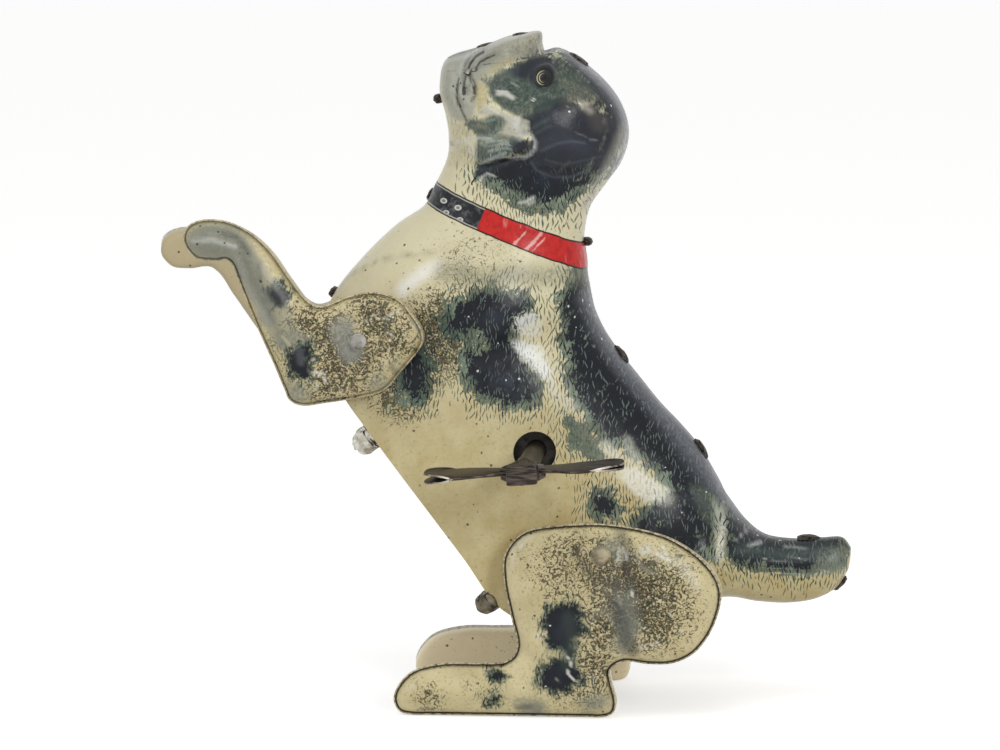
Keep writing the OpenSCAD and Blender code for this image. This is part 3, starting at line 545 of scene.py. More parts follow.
# each rib across a half, from tail to nose (mm): its two ends (x, z, x, z), its height and how far round it goes;
# holes are a centre and a radius
bodyShell = {
    "sheet": 0.45, "rows": 330, "columns": 118, "fullness": 0.8, "tailCap": 0.012, "noseCap": 0.012,
    "tailDepth": 0.25, "noseDepth": 0.5, "headFrom": 21.5, "headSteps": 2.5, "seamFade": 0.06, "endFade": 0.03,
    "ribs": [
        [31.7, 20.6, 31.3, 17.2, 1.68, 1], [30.6, 21.8, 30.0, 15.2, 2.94, 1],
        [28.0, 21.7, 27.3, 13.7, 3.7, 1], [24.5, 21.5, 23.6, 13.1, 4.2, 1],
        [20.6, 22.0, 19.6, 13.3, 5.25, 1], [17.9, 23.9, 15.4, 13.9, 7.7, 1],
        [15.8, 26.7, 9.5, 12.6, 10.24, 0.8], [13.9, 30.1, 1.5, 11.6, 11.27, 0.57],
        [11.9, 33.5, -7.5, 11.5, 11.5, 0.55], [9.3, 36.6, -13.4, 13.5, 11.5, 0.55],
        [6.6, 39.4, -18.2, 20.0, 11.7, 0.55], [4.0, 42.6, -22.5, 25.85, 12.29, 0.55],
        [1.4, 45.8, -27.0, 31.95, 12.87, 0.55], [-0.6, 48.7, -30.4, 36.55, 12.87, 0.55],
        [-1.9, 51.4, -33.5, 40.75, 12.74, 0.58], [-2.4, 53.3, -36.3, 45.2, 12.61, 0.8],
        [-2.7, 54.9, -37.4, 50.2, 12.35, 1], [-2.9, 56.0, -35.9, 54.2, 11.83, 1],
        [-3.0, 57.0, -32.0, 58.9, 10.92, 1], [-3.1, 58.2, -28.0, 62.7, 9.9, 1],
        [-3.3, 59.6, -24.4, 65.2, 9.18, 1], [-3.4, 61.6, -22.8, 68.2, 9.0, 1],
        [-2.6, 65.2, -21.3, 71.7, 9.45, 1], [-0.4, 68.4, -21.1, 74.6, 10.67, 1],
        [1.6, 71.4, -21.5, 77.2, 11.37, 1], [2.4, 75.0, -22.0, 79.2, 11.6, 1],
        [1.3, 78.8, -22.2, 80.6, 11.14, 1], [-1.3, 82.1, -22.2, 81.7, 10.21, 1],
        [-4.6, 84.8, -22.15, 82.5, 9.05, 1], [-6.5, 85.65, -22.1, 82.8, 8.4, 1],
        [-7.6, 85.25, -22.05, 83.0, 8.0, 1], [-8.6, 85.3, -22.0, 83.2, 7.6, 1],
        [-8.95, 86.4, -21.95, 83.35, 7.3, 1], [-9.3, 88.05, -21.9, 83.5, 6.9, 1],
        [-12.4, 87.45, -21.75, 83.9, 5.22, 1], [-16.1, 86.35, -21.5, 84.3, 3.48, 1],
        [-19.1, 85.5, -21.25, 84.6, 1.9, 1]],
    "keyHole": ((-9.0, 34.1), 2.75), "hipHole": ((0, 21.5), 1.05), "shoulderHole": ((-31.2, 49.2), 0.95),
}

# the body's print and painted light (x, z in mm): outlines of black, green and pale patches, the pale ones mostly
# painted glare, spots of wear, tarnish and soft printing (centre, radius, amount), and brush marks for storeBrush,
# among them painted highlights, sheen and shade
coatMarks = {
    "dark": [
        [(-20.0, 51.5), (-19.2, 52.8), (-18.3, 53.7), (-17.1, 54.5), (-16.2, 55.0), (-14.6, 54.8), (-13.2, 54.6),
         (-11.8, 54.3), (-10.5, 53.9), (-10.0, 52.9), (-10.3, 52.2), (-11.4, 52.2), (-11.9, 51.7), (-11.7, 50.8),
         (-12.4, 49.8), (-12.4, 48.8), (-11.8, 47.1), (-10.9, 45.7), (-10.0, 44.5), (-9.2, 43.3), (-8.9, 42.2),
         (-9.5, 40.9), (-10.8, 40.6), (-12.4, 40.8), (-14.1, 41.2), (-15.7, 41.7), (-16.8, 42.7), (-17.4, 44.0),
         (-17.7, 45.7), (-17.7, 47.0), (-16.7, 47.2), (-15.4, 46.9), (-14.7, 47.7), (-14.7, 48.7), (-15.1, 49.7),
         (-16.0, 50.2), (-17.3, 49.9), (-18.4, 49.9), (-19.4, 50.1), (-20.3, 50.6)],
        [(-25.4, 46.8), (-23.8, 47.1), (-23.0, 45.5), (-23.2, 43.0), (-23.9, 41.2), (-25.2, 41.3), (-25.9, 43.1),
         (-25.9, 45.1)],
        [(-1.0, 28.2), (-0.3, 28.6), (0.9, 27.6), (1.6, 26.9), (1.0, 26.1), (-0.4, 26.1), (-1.1, 26.9)],
        [(-12.0, 83.6), (-10.9, 84.6), (-9.4, 85.3), (-7.6, 85.3), (-6.4, 84.8), (-6.8, 84.0), (-7.0, 82.7),
         (-7.6, 81.9), (-8.6, 81.6), (-9.4, 82.2), (-10.4, 82.7), (-11.5, 83.1)],
        [(-10.3, 77.5), (-9.6, 78.4), (-8.8, 79.1), (-7.6, 79.7), (-6.3, 80.1), (-4.6, 79.5), (-3.4, 78.8),
         (-2.1, 78.9), (-1.0, 78.7), (-0.4, 77.5), (-0.1, 76.2), (-0.4, 74.6), (-1.3, 72.8), (-2.4, 71.1),
         (-3.4, 69.2), (-5.0, 67.4), (-6.4, 66.9), (-7.9, 66.7), (-9.6, 67.3), (-11.2, 68.1), (-12.7, 68.9),
         (-14.6, 69.4), (-16.4, 70.1), (-15.4, 71.2), (-13.5, 71.7), (-11.8, 72.2), (-10.2, 72.8), (-9.1, 74.2),
         (-9.1, 75.3), (-9.9, 76.4)],
        [(-6.6, 86.8), (-2.0, 84.8), (1.8, 81.0), (3.4, 78.0), (2.4, 75.6), (1.2, 73.4), (0.0, 71.4), (-1.5, 69.8),
         (-3.2, 68.9), (-2.0, 71.1), (-0.9, 73.0), (-0.2, 75.0), (-0.1, 77.0), (-0.9, 79.2), (-2.3, 81.4),
         (-4.0, 83.2), (-5.6, 84.6)],
        [(-15.0, 72.6), (-14.3, 72.9), (-12.8, 73.9), (-11.8, 74.6), (-10.8, 75.0), (-10.4, 74.7), (-10.5, 74.2),
         (-11.3, 73.6), (-12.8, 72.9), (-14.3, 72.2)]],
    "backDark": [
        [(-4.7, 54.9), (-5.2, 53.4), (-5.2, 52.1), (-4.9, 50.3), (-5.1, 48.5), (-4.7, 46.9), (-4.2, 45.3),
         (-4.3, 43.7), (-3.6, 41.7), (-2.1, 39.1), (-0.7, 37.6), (0.4, 36.2), (2.9, 34.9), (4.9, 33.6), (6.6, 32.3),
         (8.3, 30.6), (9.0, 28.9), (7.4, 27.3), (5.6, 26.2), (4.2, 24.8), (4.0, 23.0), (8.0, 21.5), (12.6, 21.0),
         (13.8, 22.5), (13.9, 25.6), (13.2, 28.2), (15.9, 26.4), (16.0, 23.4), (16.4, 20.6), (17.7, 19.4),
         (21.5, 18.9), (24.2, 18.3), (26.0, 18.0), (28.0, 19.4), (30.6, 21.0), (30.0, 24.0), (20.0, 26.0),
         (12.0, 40.0), (0.0, 58.0), (-3.6, 57.0)]],
    "green": [
        [(-18.9, 49.9), (-17.3, 49.9), (-16.0, 49.9), (-15.0, 49.1), (-14.8, 47.9), (-15.5, 47.1), (-16.8, 47.4),
         (-17.9, 47.5), (-18.3, 48.3), (-18.8, 49.2)],
        [(-5.5, 39.2), (-3.1, 38.2), (-1.4, 36.2), (-0.3, 34.3), (-0.6, 32.9), (-3.0, 33.5), (-4.6, 34.4),
         (-5.0, 36.4)],
        [(-15.4, 82.2), (-14.4, 83.2), (-13.0, 83.8), (-11.7, 84.1), (-10.8, 84.9), (-7.4, 85.1), (-6.2, 84.9),
         (-4.9, 83.8), (-3.6, 82.5), (-2.6, 81.2), (-2.4, 80.3), (-4.2, 80.6), (-6.2, 80.4), (-7.8, 79.7),
         (-9.1, 79.0), (-10.3, 78.2), (-12.1, 78.7), (-13.1, 79.2), (-14.2, 79.7), (-15.3, 80.4), (-15.5, 81.4)],
        [(-18.5, 76.8), (-17.7, 75.8), (-15.6, 75.6), (-13.9, 76.5), (-13.3, 77.6), (-14.9, 77.3), (-16.0, 76.9),
         (-17.4, 77.0)],
        [(-17.2, 70.3), (-15.9, 68.4), (-13.9, 67.2), (-12.0, 65.9), (-10.0, 64.7), (-7.8, 64.6), (-5.9, 65.0),
         (-4.2, 66.4), (-2.7, 67.9), (-2.9, 69.4), (-5.8, 68.8), (-7.8, 68.4), (-10.7, 69.0), (-13.0, 70.2),
         (-14.8, 70.8)],
        [(-17.0, 71.3), (-15.6, 72.8), (-14.0, 73.9), (-12.8, 74.4), (-14.6, 74.4), (-16.0, 73.6), (-17.0, 72.4)],
        [(13.0, 20.6), (16.2, 19.4), (20.0, 18.5), (24.0, 17.8), (28.0, 17.4), (31.0, 18.0), (31.6, 20.5),
         (29.0, 21.6), (20.0, 20.6)]],
    # pale patches, mostly painted glare on the flank, rump and cheeks, and some rubbed pale places
    "pale": [
        [(-11.7, 52.0), (-10.3, 52.4), (-9.2, 52.1), (-8.2, 50.7), (-8.5, 49.3), (-9.6, 48.9), (-11.1, 49.3),
         (-11.9, 50.6)],
        [(-12.1, 48.6), (-8.5, 48.1), (-7.6, 46.2), (-8.2, 44.7), (-9.6, 44.9), (-10.8, 46.2), (-11.8, 47.3)],
        [(-14.5, 81.4), (-13.3, 81.5), (-12.3, 80.7), (-13.2, 80.4), (-14.1, 80.7)],
        [(-15.6, 79.2), (-13.8, 78.6), (-13.1, 77.9), (-12.0, 77.9), (-10.9, 77.6), (-10.6, 76.8), (-11.4, 75.6),
         (-12.8, 75.6), (-14.9, 75.5), (-13.1, 76.8), (-13.5, 78.1), (-15.3, 78.1), (-16.9, 78.2), (-16.7, 78.8)],
        [(-20.0, 74.1), (-17.5, 75.3), (-17.3, 74.8), (-19.5, 73.6)],
        [(-18.3, 74.0), (-17.5, 74.2), (-17.0, 73.4), (-17.7, 73.0)],
        [(-4.1, 80.1), (-3.0, 80.2), (-2.5, 79.6), (-3.0, 79.0), (-3.7, 79.3)],
        [(2.4, 32.1), (4.5, 31.7), (6.7, 29.8), (8.3, 28.9), (7.6, 27.5), (5.2, 27.4), (3.2, 29.2), (2.1, 30.8)],
        [(14.0, 27.0), (15.3, 26.2), (15.7, 23.9), (15.5, 21.4), (15.2, 19.6), (14.6, 19.6), (14.5, 21.5),
         (14.3, 24.2)]],
    "wear": [((-27.5, 44.0), 4.5, 0.7), ((-25.0, 48.5), 4.0, 0.8), ((-21.5, 48.5), 3.5, 0.8),
             ((-21.5, 53.0), 2.8, 0.6), ((-19.5, 46.0), 2.5, 0.35), ((-26.0, 40.5), 3.0, 0.45),
             ((-9.0, 14.0), 3.0, 0.4), ((-14.0, 59.0), 5.0, 0.25), ((-19.5, 59.2), 3.5, 0.25),
             ((-17.0, 81.0), 3.0, 0.18)],
    "grey": [((-19.8, 83.5), 2.6, 0.75), ((-20.5, 80.0), 2.4, 0.6), ((-13.0, 86.0), 3.0, 0.6),
             ((-16.5, 85.5), 2.5, 0.7), ((-16.0, 82.5), 2.0, 0.4), ((-18.0, 78.0), 2.2, 0.4),
             ((-18.5, 58.2), 1.6, 0.4), ((-12.0, 58.0), 2.6, 0.35), ((-24.0, 48.0), 2.0, 0.35),
             ((29.5, 19.5), 2.5, 0.5), ((-12.2, 77.3), 1.4, 0.6), ((7.0, 28.2), 3.0, 0.5),
             ((-1.5, 57.0), 2.5, 0.5), ((-2.0, 62.0), 2.5, 0.3)],
    "soft": [((-13.0, 79.5), 9.5), ((-3.0, 76.5), 6.0)],
    "brush": [
        # painted highlight on the shoulder bulge
        ("#f1f1ed", 0.92, 0.8, 1.4, [(-26.2, 55.2), (-24.3, 56.9), (-21.9, 58.2)]),
        ("#7f806c", 0.7, 1.2, 2.2, [(-21.0, 57.6), (-15.4, 56.8), (-8.7, 57.0), (-3.2, 56.6)]),
        # painted sheen along the top of the chest
        ("#d8d6c8", 0.5, 0.3, 0.5, [(-35.5, 54.7), (-33.2, 57.5), (-29.2, 59.3)]),
        # painted shade along the chest crease
        ("#7e7860", 0.55, 0.16, 0.5, [(-36.3, 53.3), (-33.8, 56.4), (-29.4, 58.7), (-25.8, 59.4), (-21.6, 60.0),
         (-17.4, 59.4)]),
        # painted glare on the flank beside the black patch
        ("#d6d8d4", 0.95, 0.55, 0.8, [(-10.7, 50.9), (-9.6, 51.6)]),
        ("#e9eae6", 0.97, 0.75, 0.9, [(-11.0, 47.9), (-9.3, 46.4), (-7.7, 44.4)]),
        ("#cfd2cc", 0.5, 0.3, 1.2, [(-7.6, 44.2), (-6.3, 41.4), (-3.8, 39.8)]),
        # painted sheen along the back
        ("#8a8d95", 0.7, 0.6, 2.2, [(-2.9, 53.8), (-1.4, 49.5), (1.3, 45.3), (5.1, 41.0), (7.3, 38.4)]),
        ("#6d7079", 0.5, 1.4, 2.4, [(-0.5, 50.5), (2.6, 45.0), (6.6, 39.6), (11.0, 33.5), (15.0, 28.0)]),
        # painted glare on the flank behind the key and on the rump
        ("#c9c9bb", 0.7, 0.4, 0.8, [(0.0, 35.1), (1.7, 32.7)]),
        ("#b9bcae", 0.6, 0.4, 0.7, [(3.1, 35.2), (4.2, 32.8)]),
        ("#dcd9c6", 0.75, 0.4, 2.6, [(1.8, 31.4), (4.8, 29.9), (8.1, 27.8)]),
        ("#cfcdb8", 0.7, 0.5, 0.9, [(-0.1, 34.7), (1.6, 33.3)]),
        ("#b9bcae", 0.6, 0.45, 0.8, [(2.7, 35.6), (3.7, 32.9)]),
        # painted sheen along the back towards the rump
        ("#83868e", 0.68, 0.55, 2.0, [(7.3, 38.4), (9.6, 35.3), (12.1, 32.2), (14.6, 28.8), (17.2, 25.6)]),
        ("#6f7a68", 0.5, None, 0.9, [(10.9, 29.6), (13.4, 28.7), (15.4, 25.9), (14.9, 23.0), (13.6, 24.3), (11.6,
         26.8)]),
        ("#2b2e3a", 0.7, 0.25, 0.5, [(9.9, 28.7), (12.3, 26.2)]),
        ("#585c68", 0.6, 0.2, 0.5, [(10.9, 28.9), (13.6, 26.1)]),
        ("#c9ccc8", 0.9, 0.1, 0.35, [(17.2, 22.3), (18.1, 23.1)]),
        ("#dcdcd8", 0.9, 0.2, 0.4, [(18.7, 21.3), (20.0, 21.5)]),
        ("#b9bdb6", 0.7, 0.14, 0.4, [(23.1, 20.9), (24.2, 20.8), (26.0, 20.6)]),
        ("#a9ada6", 0.7, 0.12, 0.4, [(23.8, 19.7), (26.1, 19.3)]),
        ("#d0d2ce", 0.9, 0.08, 0.1, [(20.4, 20.0), (20.7, 19.5)]),
        ("#7f8478", 0.75, None, 1.6, [(27.4, 20.2), (30.4, 21.0), (31.7, 20.2), (30.7, 17.8), (27.2, 17.6)]),
        ("#5d6a66", 0.55, 0.7, 1.6, [(17.5, 21.0), (21.0, 20.2), (25.5, 20.0), (29.0, 20.4)]),
        ("#2b2c28", 0.8, 0.05, 0.14, [(15.0, 19.3), (18.7, 18.8), (22.2, 18.3)]),
        ("#9aa08e", 0.5, 0.2, 0.4, [(23.3, 17.4), (27.2, 17.3), (29.8, 17.6)]),
        ("#a6a89e", 0.85, None, 0.8, [(-22.0, 82.9), (-21.7, 83.8), (-20.9, 84.9), (-19.4, 85.5), (-17.1, 85.9),
         (-15.3, 86.6), (-13.1, 87.4), (-10.8, 88.4), (-9.2, 88.9), (-8.5, 87.4), (-9.6, 85.3), (-11.4, 85.2), (-12.8,
         84.6), (-13.8, 84.1), (-15.0, 83.4), (-16.6, 82.8), (-16.7, 80.2), (-17.1, 78.0), (-18.4, 76.9), (-20.6,
         77.3), (-20.8, 79.5), (-21.6, 80.3)]),
        ("#8a897a", 0.7, None, 0.8, [(-17.1, 85.1), (-15.0, 86.2), (-12.3, 87.2), (-9.4, 88.5), (-8.4, 87.2), (-10.0,
         85.3), (-11.8, 85.2), (-13.2, 85.0), (-14.8, 84.3), (-16.1, 83.9)]),
        ("#b3b1a2", 0.7, 0.5, 0.7, [(-20.4, 83.7), (-20.2, 82.7)]),
        ("#7f8a86", 0.5, 0.3, 0.6, [(-20.8, 84.3), (-19.9, 85.0), (-19.1, 85.3)]),
        # painted shade to the left of the mouth crease
        ("#50554f", 0.6, 0.3, 0.7, [(-17.9, 85.2), (-18.5, 84.0), (-18.7, 82.7), (-18.6, 81.5)]),
        # painted highlight along the jowl ridge
        ("#c2c4bc", 0.6, 0.16, 0.4, [(-18.2, 85.3), (-18.9, 84.2), (-19.1, 82.8), (-19.0, 80.9)]),
        ("#2c2f2d", 0.9, 0.16, 0.35, [(-19.3, 81.6), (-19.4, 80.5), (-19.3, 79.2), (-18.7, 78.2), (-18.1, 77.1)]),
        # painted highlight on the ridge beside the jowl line
        ("#b9baae", 0.7, 0.12, 0.3, [(-18.7, 81.1), (-18.6, 79.7), (-18.1, 78.5)]),
        # painted shade right of the mouth line
        ("#6d6f67", 0.6, 0.2, 0.4, [(-17.5, 82.9), (-17.6, 81.5), (-17.7, 80.5)]),
        ("#38362f", 0.85, 0.14, 0.35, [(-17.2, 82.3), (-16.8, 81.2), (-16.9, 80.3), (-17.4, 79.6)]),
        # painted highlight lines on the upper lip
        ("#d5d7d0", 0.8, 0.07, 0.15, [(-17.9, 85.5), (-17.1, 85.8)]),
        ("#b9bab0", 0.6, 0.06, 0.15, [(-17.1, 84.8), (-15.8, 85.5), (-15.1, 86.0)]),
        ("#3f413c", 0.55, 0.14, 0.4, [(-17.2, 83.5), (-16.6, 84.4), (-15.4, 85.1)]),
        ("#aca27c", 0.7, None, 0.4, [(-16.6, 82.4), (-15.6, 83.4), (-14.1, 83.1), (-13.4, 84.0), (-12.8, 84.4),
         (-11.7, 84.9), (-12.1, 85.3), (-13.6, 84.9), (-14.9, 84.1), (-15.8, 83.4)]),
        ("#bdb187", 0.9, None, 0.4, [(-16.7, 82.0), (-15.6, 81.9), (-15.2, 80.8), (-15.4, 79.5), (-16.0, 78.2),
         (-16.5, 78.0), (-16.8, 79.8)]),
        ("#3a4743", 0.93, None, 0.6, [(-15.0, 82.1), (-14.3, 82.9), (-12.6, 83.8), (-11.3, 84.6), (-9.5, 85.0),
         (-7.5, 84.7), (-6.0, 84.8), (-4.7, 83.8), (-3.4, 82.7), (-2.0, 81.3), (-1.0, 80.0), (-1.9, 79.3), (-3.7,
         79.8), (-5.3, 79.5), (-6.7, 78.8), (-8.1, 78.0), (-9.4, 77.5), (-11.6, 78.0), (-12.9, 78.7), (-14.1, 79.7),
         (-14.9, 80.7)]),
        ("#2a2d34", 0.85, None, 0.6, [(-12.2, 84.4), (-10.3, 85.0), (-7.4, 85.0), (-6.3, 84.0), (-6.6, 82.1), (-7.7,
         81.3), (-9.0, 81.6), (-10.1, 82.7), (-11.8, 82.8)]),
        ("#5d6055", 0.7, 0.5, 0.9, [(-5.7, 82.1), (-3.3, 81.1), (-2.5, 80.4)]),
        # painted glare on the cheek bumps
        ("#c9cabf", 0.9, 0.28, 0.5, [(-13.8, 80.7), (-13.0, 80.8), (-11.9, 80.2)]),
        ("#dddcd2", 0.8, 0.08, 0.2, [(-14.0, 81.1), (-12.5, 81.0)]),
        ("#9ba39c", 0.7, 0.08, 0.3, [(-12.2, 82.1), (-11.2, 81.6)]),
        ("#e6e8e4", 0.95, 0.1, 0.12, [(-9.4, 79.8), (-9.1, 80.1)]),
        ("#b5b3a4", 0.85, None, 0.4, [(-15.2, 79.1), (-14.1, 78.9), (-12.3, 77.9), (-10.9, 77.7), (-9.7, 77.3), (-9.8,
         75.7), (-10.9, 74.6), (-12.7, 74.8), (-13.6, 75.6), (-12.7, 76.3), (-12.7, 77.7), (-14.8, 77.9), (-16.4,
         78.0), (-16.0, 78.8)]),
        # painted highlights on the cheek bumps
        ("#cfcec6", 0.85, 0.45, 0.6, [(-11.4, 77.3), (-11.3, 76.4), (-10.9, 75.3)]),
        ("#c4c2b0", 0.7, 0.35, 0.5, [(-14.6, 78.8), (-13.5, 78.1)]),
        ("#43534f", 0.9, None, 0.6, [(-18.5, 76.5), (-17.4, 76.1), (-16.8, 75.4), (-14.9, 75.3), (-13.2, 75.9),
         (-12.6, 77.2), (-13.1, 77.8), (-14.4, 78.1), (-15.4, 77.6), (-16.8, 77.1), (-17.5, 77.0)]),
        ("#77786a", 0.7, 0.3, 0.4, [(-17.2, 76.5), (-15.4, 76.3)]),
        ("#8fa59c", 0.7, 0.13, 0.25, [(-15.4, 77.1), (-14.3, 77.4)]),
        ("#c4ba98", 0.6, None, 0.6, [(-20.6, 76.6), (-18.6, 76.4), (-17.4, 75.3), (-16.9, 74.3), (-16.9, 71.3),
         (-21.3, 70.6), (-21.0, 73.6)]),
        ("#cdccb8", 0.7, 0.2, 0.35, [(-19.5, 73.0), (-18.5, 73.7), (-17.4, 74.8)]),
        ("#d8d8cc", 0.8, 0.18, 0.3, [(-17.9, 73.2), (-17.1, 72.6), (-16.7, 71.7)]),
        ("#2a2d35", 0.92, None, 0.4, [(-9.4, 77.4), (-8.8, 78.2), (-7.2, 78.7), (-6.3, 79.5), (-4.5, 79.7), (-3.4,
         79.0), (-1.9, 77.9), (-0.2, 78.0), (0.9, 77.0), (1.1, 74.8), (1.2, 70.8), (-10.0, 71.5), (-8.7, 73.5), (-8.8,
         74.8), (-9.4, 75.7)]),
        ("#4a5a57", 0.85, None, 0.7, [(-17.0, 70.4), (-16.9, 72.6), (-16.6, 75.4), (-14.3, 76.0), (-12.4, 75.2),
         (-10.8, 75.1), (-11.4, 73.4), (-13.5, 72.0), (-15.5, 70.6)]),
        ("#2e3540", 0.85, 0.5, 0.8, [(-16.6, 70.3), (-14.2, 71.3), (-11.6, 72.4)]),
        ("#66807c", 0.5, 0.4, 0.8, [(-15.8, 74.3), (-13.9, 74.7)]),
        ("#c3c9c4", 0.75, 0.13, 0.4, [(-19.8, 73.7), (-17.9, 74.6), (-15.9, 74.9), (-14.6, 74.8)]),
        ("#cfd2cc", 0.7, 0.12, 0.35, [(-17.3, 71.6), (-17.0, 72.9), (-17.6, 73.9)]),
        ("#dfe0db", 0.85, 0.13, 0.3, [(-16.3, 69.5), (-15.4, 70.2), (-14.4, 69.9)]),
        ("#e8e8e4", 0.9, 0.16, 0.3, [(-11.2, 66.4), (-10.2, 66.6), (-9.4, 67.2)]),
        ("#e8e8e4", 0.8, 0.12, 0.25, [(-10.0, 66.2), (-9.2, 66.7)]),
        ("#b7c3bf", 0.7, 0.09, 0.26, [(-15.4, 74.3), (-13.9, 74.6), (-12.4, 74.5)]),
        ("#b7c3bf", 0.7, 0.09, 0.26, [(-15.1, 73.8), (-13.6, 74.2), (-12.1, 74.1)]),
        ("#b7c3bf", 0.7, 0.09, 0.26, [(-15.1, 73.2), (-13.1, 73.7), (-11.9, 73.6)]),
        ("#c6cfcb", 0.7, 0.1, 0.26, [(-16.3, 71.4), (-14.6, 72.4), (-12.8, 73.1)]),
        ("#2b2d34", 0.95, None, 0.25, [(-12.0, 73.9), (-10.9, 74.6), (-9.8, 74.7), (-9.1, 74.5), (-9.3, 73.6), (-9.8,
         72.9), (-10.9, 72.6), (-11.9, 73.2)]),
        ("#a9adab", 0.85, 0.2, 0.5, [(-10.6, 75.9), (-9.4, 75.4), (-8.9, 74.5), (-9.0, 73.6), (-9.7, 72.9),
         (-10.6, 72.4)]),
        ("#dfe0dd", 0.8, 0.06, 0.12, [(-9.0, 74.8), (-9.1, 73.8)]),
        ("#b9bdb9", 0.8, 0.1, 0.26, [(-10.1, 72.6), (-11.6, 72.3), (-12.8, 72.5), (-14.2, 72.3), (-15.5, 71.7),
         (-16.5, 71.4)]),
        ("#1c1f26", 0.9, 0.16, 0.4, [(-9.8, 72.0), (-11.3, 71.8), (-12.9, 72.1), (-14.6, 71.4)]),
        ("#4f5f5c", 0.6, 0.2, 0.6, [(-9.2, 76.4), (-8.2, 77.0), (-7.2, 77.5)]),
        ("#57625f", 0.5, 0.14, 0.5, [(-8.8, 75.7), (-7.6, 76.4), (-7.0, 76.6)]),
        ("#57544f", 0.6, 0.9, 1.8, [(-4.6, 79.6), (-3.0, 79.8), (-1.7, 78.4), (-0.9, 76.6)]),
        # painted highlight on the bump behind the eye
        ("#b4b1a4", 0.85, 0.3, 1.1, [(-2.9, 79.2), (-2.0, 78.4)]),
        ("#e0ded6", 0.9, 0.07, 0.1, [(-3.4, 79.3), (-3.2, 79.5)]),
        ("#cfd2cf", 0.9, 0.07, 0.08, [(-4.8, 79.1), (-4.8, 79.1)]),
        ("#cfd2cf", 0.9, 0.07, 0.08, [(-6.8, 75.0), (-6.9, 74.9)]),
        ("#8e9298", 0.6, 0.1, 0.26, [(-2.0, 74.7), (-1.2, 74.6)]),
        ("#3a3e48", 0.55, 0.8, 1.8, [(-7.6, 74.4), (-5.0, 75.0), (-2.6, 73.6)]),
        ("#666b73", 0.6, 0.1, 0.4, [(-8.2, 73.4), (-6.2, 74.3), (-4.4, 74.6), (-2.6, 74.3)]),
        ("#5c6169", 0.6, 0.12, 0.45, [(-9.5, 71.9), (-8.8, 70.7), (-6.8, 69.9), (-4.6, 69.8), (-2.2, 70.7)]),
        ("#595d66", 0.5, 0.1, 0.4, [(-7.7, 72.2), (-5.4, 71.5), (-2.8, 72.0), (-0.6, 72.4)]),
        ("#60564f", 0.5, 0.14, 0.5, [(-6.0, 70.6), (-4.6, 71.9)]),
        # painted sheen down the back of the head and neck
        ("#aeaca0", 0.75, 0.5, 1.6, [(2.2, 76.0), (1.2, 73.0), (-0.2, 70.3), (-1.8, 67.8), (-2.9, 65.4)]),
        ("#6f747c", 0.7, 0.08, 0.2, [(-3.8, 75.7), (-2.4, 75.1)]),
        # painted reflection along the back of the skull
        ("#83868d", 0.6, 0.25, 1.5, [(-5.0, 85.1), (-3.2, 83.9), (-1.2, 82.2), (0.5, 80.4), (1.4, 78.6), (1.9,
         76.9)]),
        ("#24262c", 0.8, 0.13, 0.3, [(-6.5, 84.6), (-5.1, 84.0), (-3.9, 83.0)]),
        # painted sheen along the back of the skull
        ("#a9acb4", 0.75, 0.8, 1.7, [(-2.6, 84.2), (0.4, 81.8), (2.4, 79.0), (3.2, 76.0), (2.6, 73.2), (1.4, 70.6)]),
        # painted shade on the back slope of the brow spike
        ("#5f6058", 0.7, 0.3, 0.8, [(-9.1, 88.4), (-8.8, 86.9), (-8.3, 85.7)]),
        ("#b0b0a8", 0.8, 0.07, 0.15, [(-6.9, 85.1), (-7.0, 84.4)]),
    ],
}

# printed and pressed lines of the face: points, half width of the print, groove width and depth
faceLines = [
    ([(-16.2, 85.7), (-17.1, 85.2), (-17.8, 84.2), (-18.25, 83.0), (-18.45, 81.8), (-18.5, 80.9)], 0.14, 0.45, 0.5),
    ([(-18.5, 81.2), (-18.5, 80.5)], 0.24, 0.35, 0.3),
    ([(-19.2, 82.4), (-19.5, 81.2), (-19.4, 79.9), (-18.9, 78.7)], 0.1, 0.5, 0.45),
    ([(-17.9, 82.9), (-17.6, 82.2), (-17.1, 81.3), (-17.1, 80.6), (-17.5, 79.8)], 0.04, 0.45, 0.35),
    ([(-17.15, 81.4), (-17.05, 80.6)], 0.17, 0.4, 0.2),
    ([(-17.0, 83.7), (-16.5, 84.5), (-15.6, 85.0), (-14.6, 85.4)], 0.09, 0.45, 0.4),
    ([(-20.8, 84.9), (-19.9, 85.2), (-19.0, 85.4), (-17.6, 85.8)], 0.03, 0.4, 0.25),
    ([(-17.0, 70.8), (-15.5, 71.2), (-13.9, 71.7), (-12.1, 72.2), (-10.5, 72.4)], 0.09, 0.4, 0.3),
    ([(-17.0, 71.3), (-15.7, 72.5), (-14.2, 73.4), (-12.8, 74.0)], 0.02, 0.3, 0.2),
]
earFlap = [(-17.4, 70.9), (-15.9, 72.7), (-14.2, 73.9), (-12.5, 74.8), (-10.9, 75.5), (-9.9, 75.6), (-9.3, 74.9),
           (-9.6, 73.8), (-10.5, 73.0), (-12.1, 72.5), (-13.9, 71.8), (-15.5, 71.2)]

# raised forms of the face: centre, radius and height
muzzleBumps = [((-20.2, 83.2), 1.3, 0.45), ((-20.6, 80.6), 1.4, 0.4), ((-18.9, 82.2), 0.5, 0.2),
               ((-15.6, 83.4), 1.5, 0.35), ((-13.4, 81.0), 1.1, 0.6), ((-16.0, 80.4), 0.8, 0.3),
               ((-14.6, 78.3), 1.6, 0.45), ((-11.6, 77.0), 1.5, 0.55), ((-16.6, 76.6), 1.4, 0.3),
               ((-2.9, 79.4), 1.9, 0.4), ((-17.4, 73.8), 1.0, 0.35), ((-19.2, 74.3), 1.2, 0.25),
               ((-7.6, 85.0), 1.2, 0.35), ((-13.2, 86.2), 2.0, 0.25)]


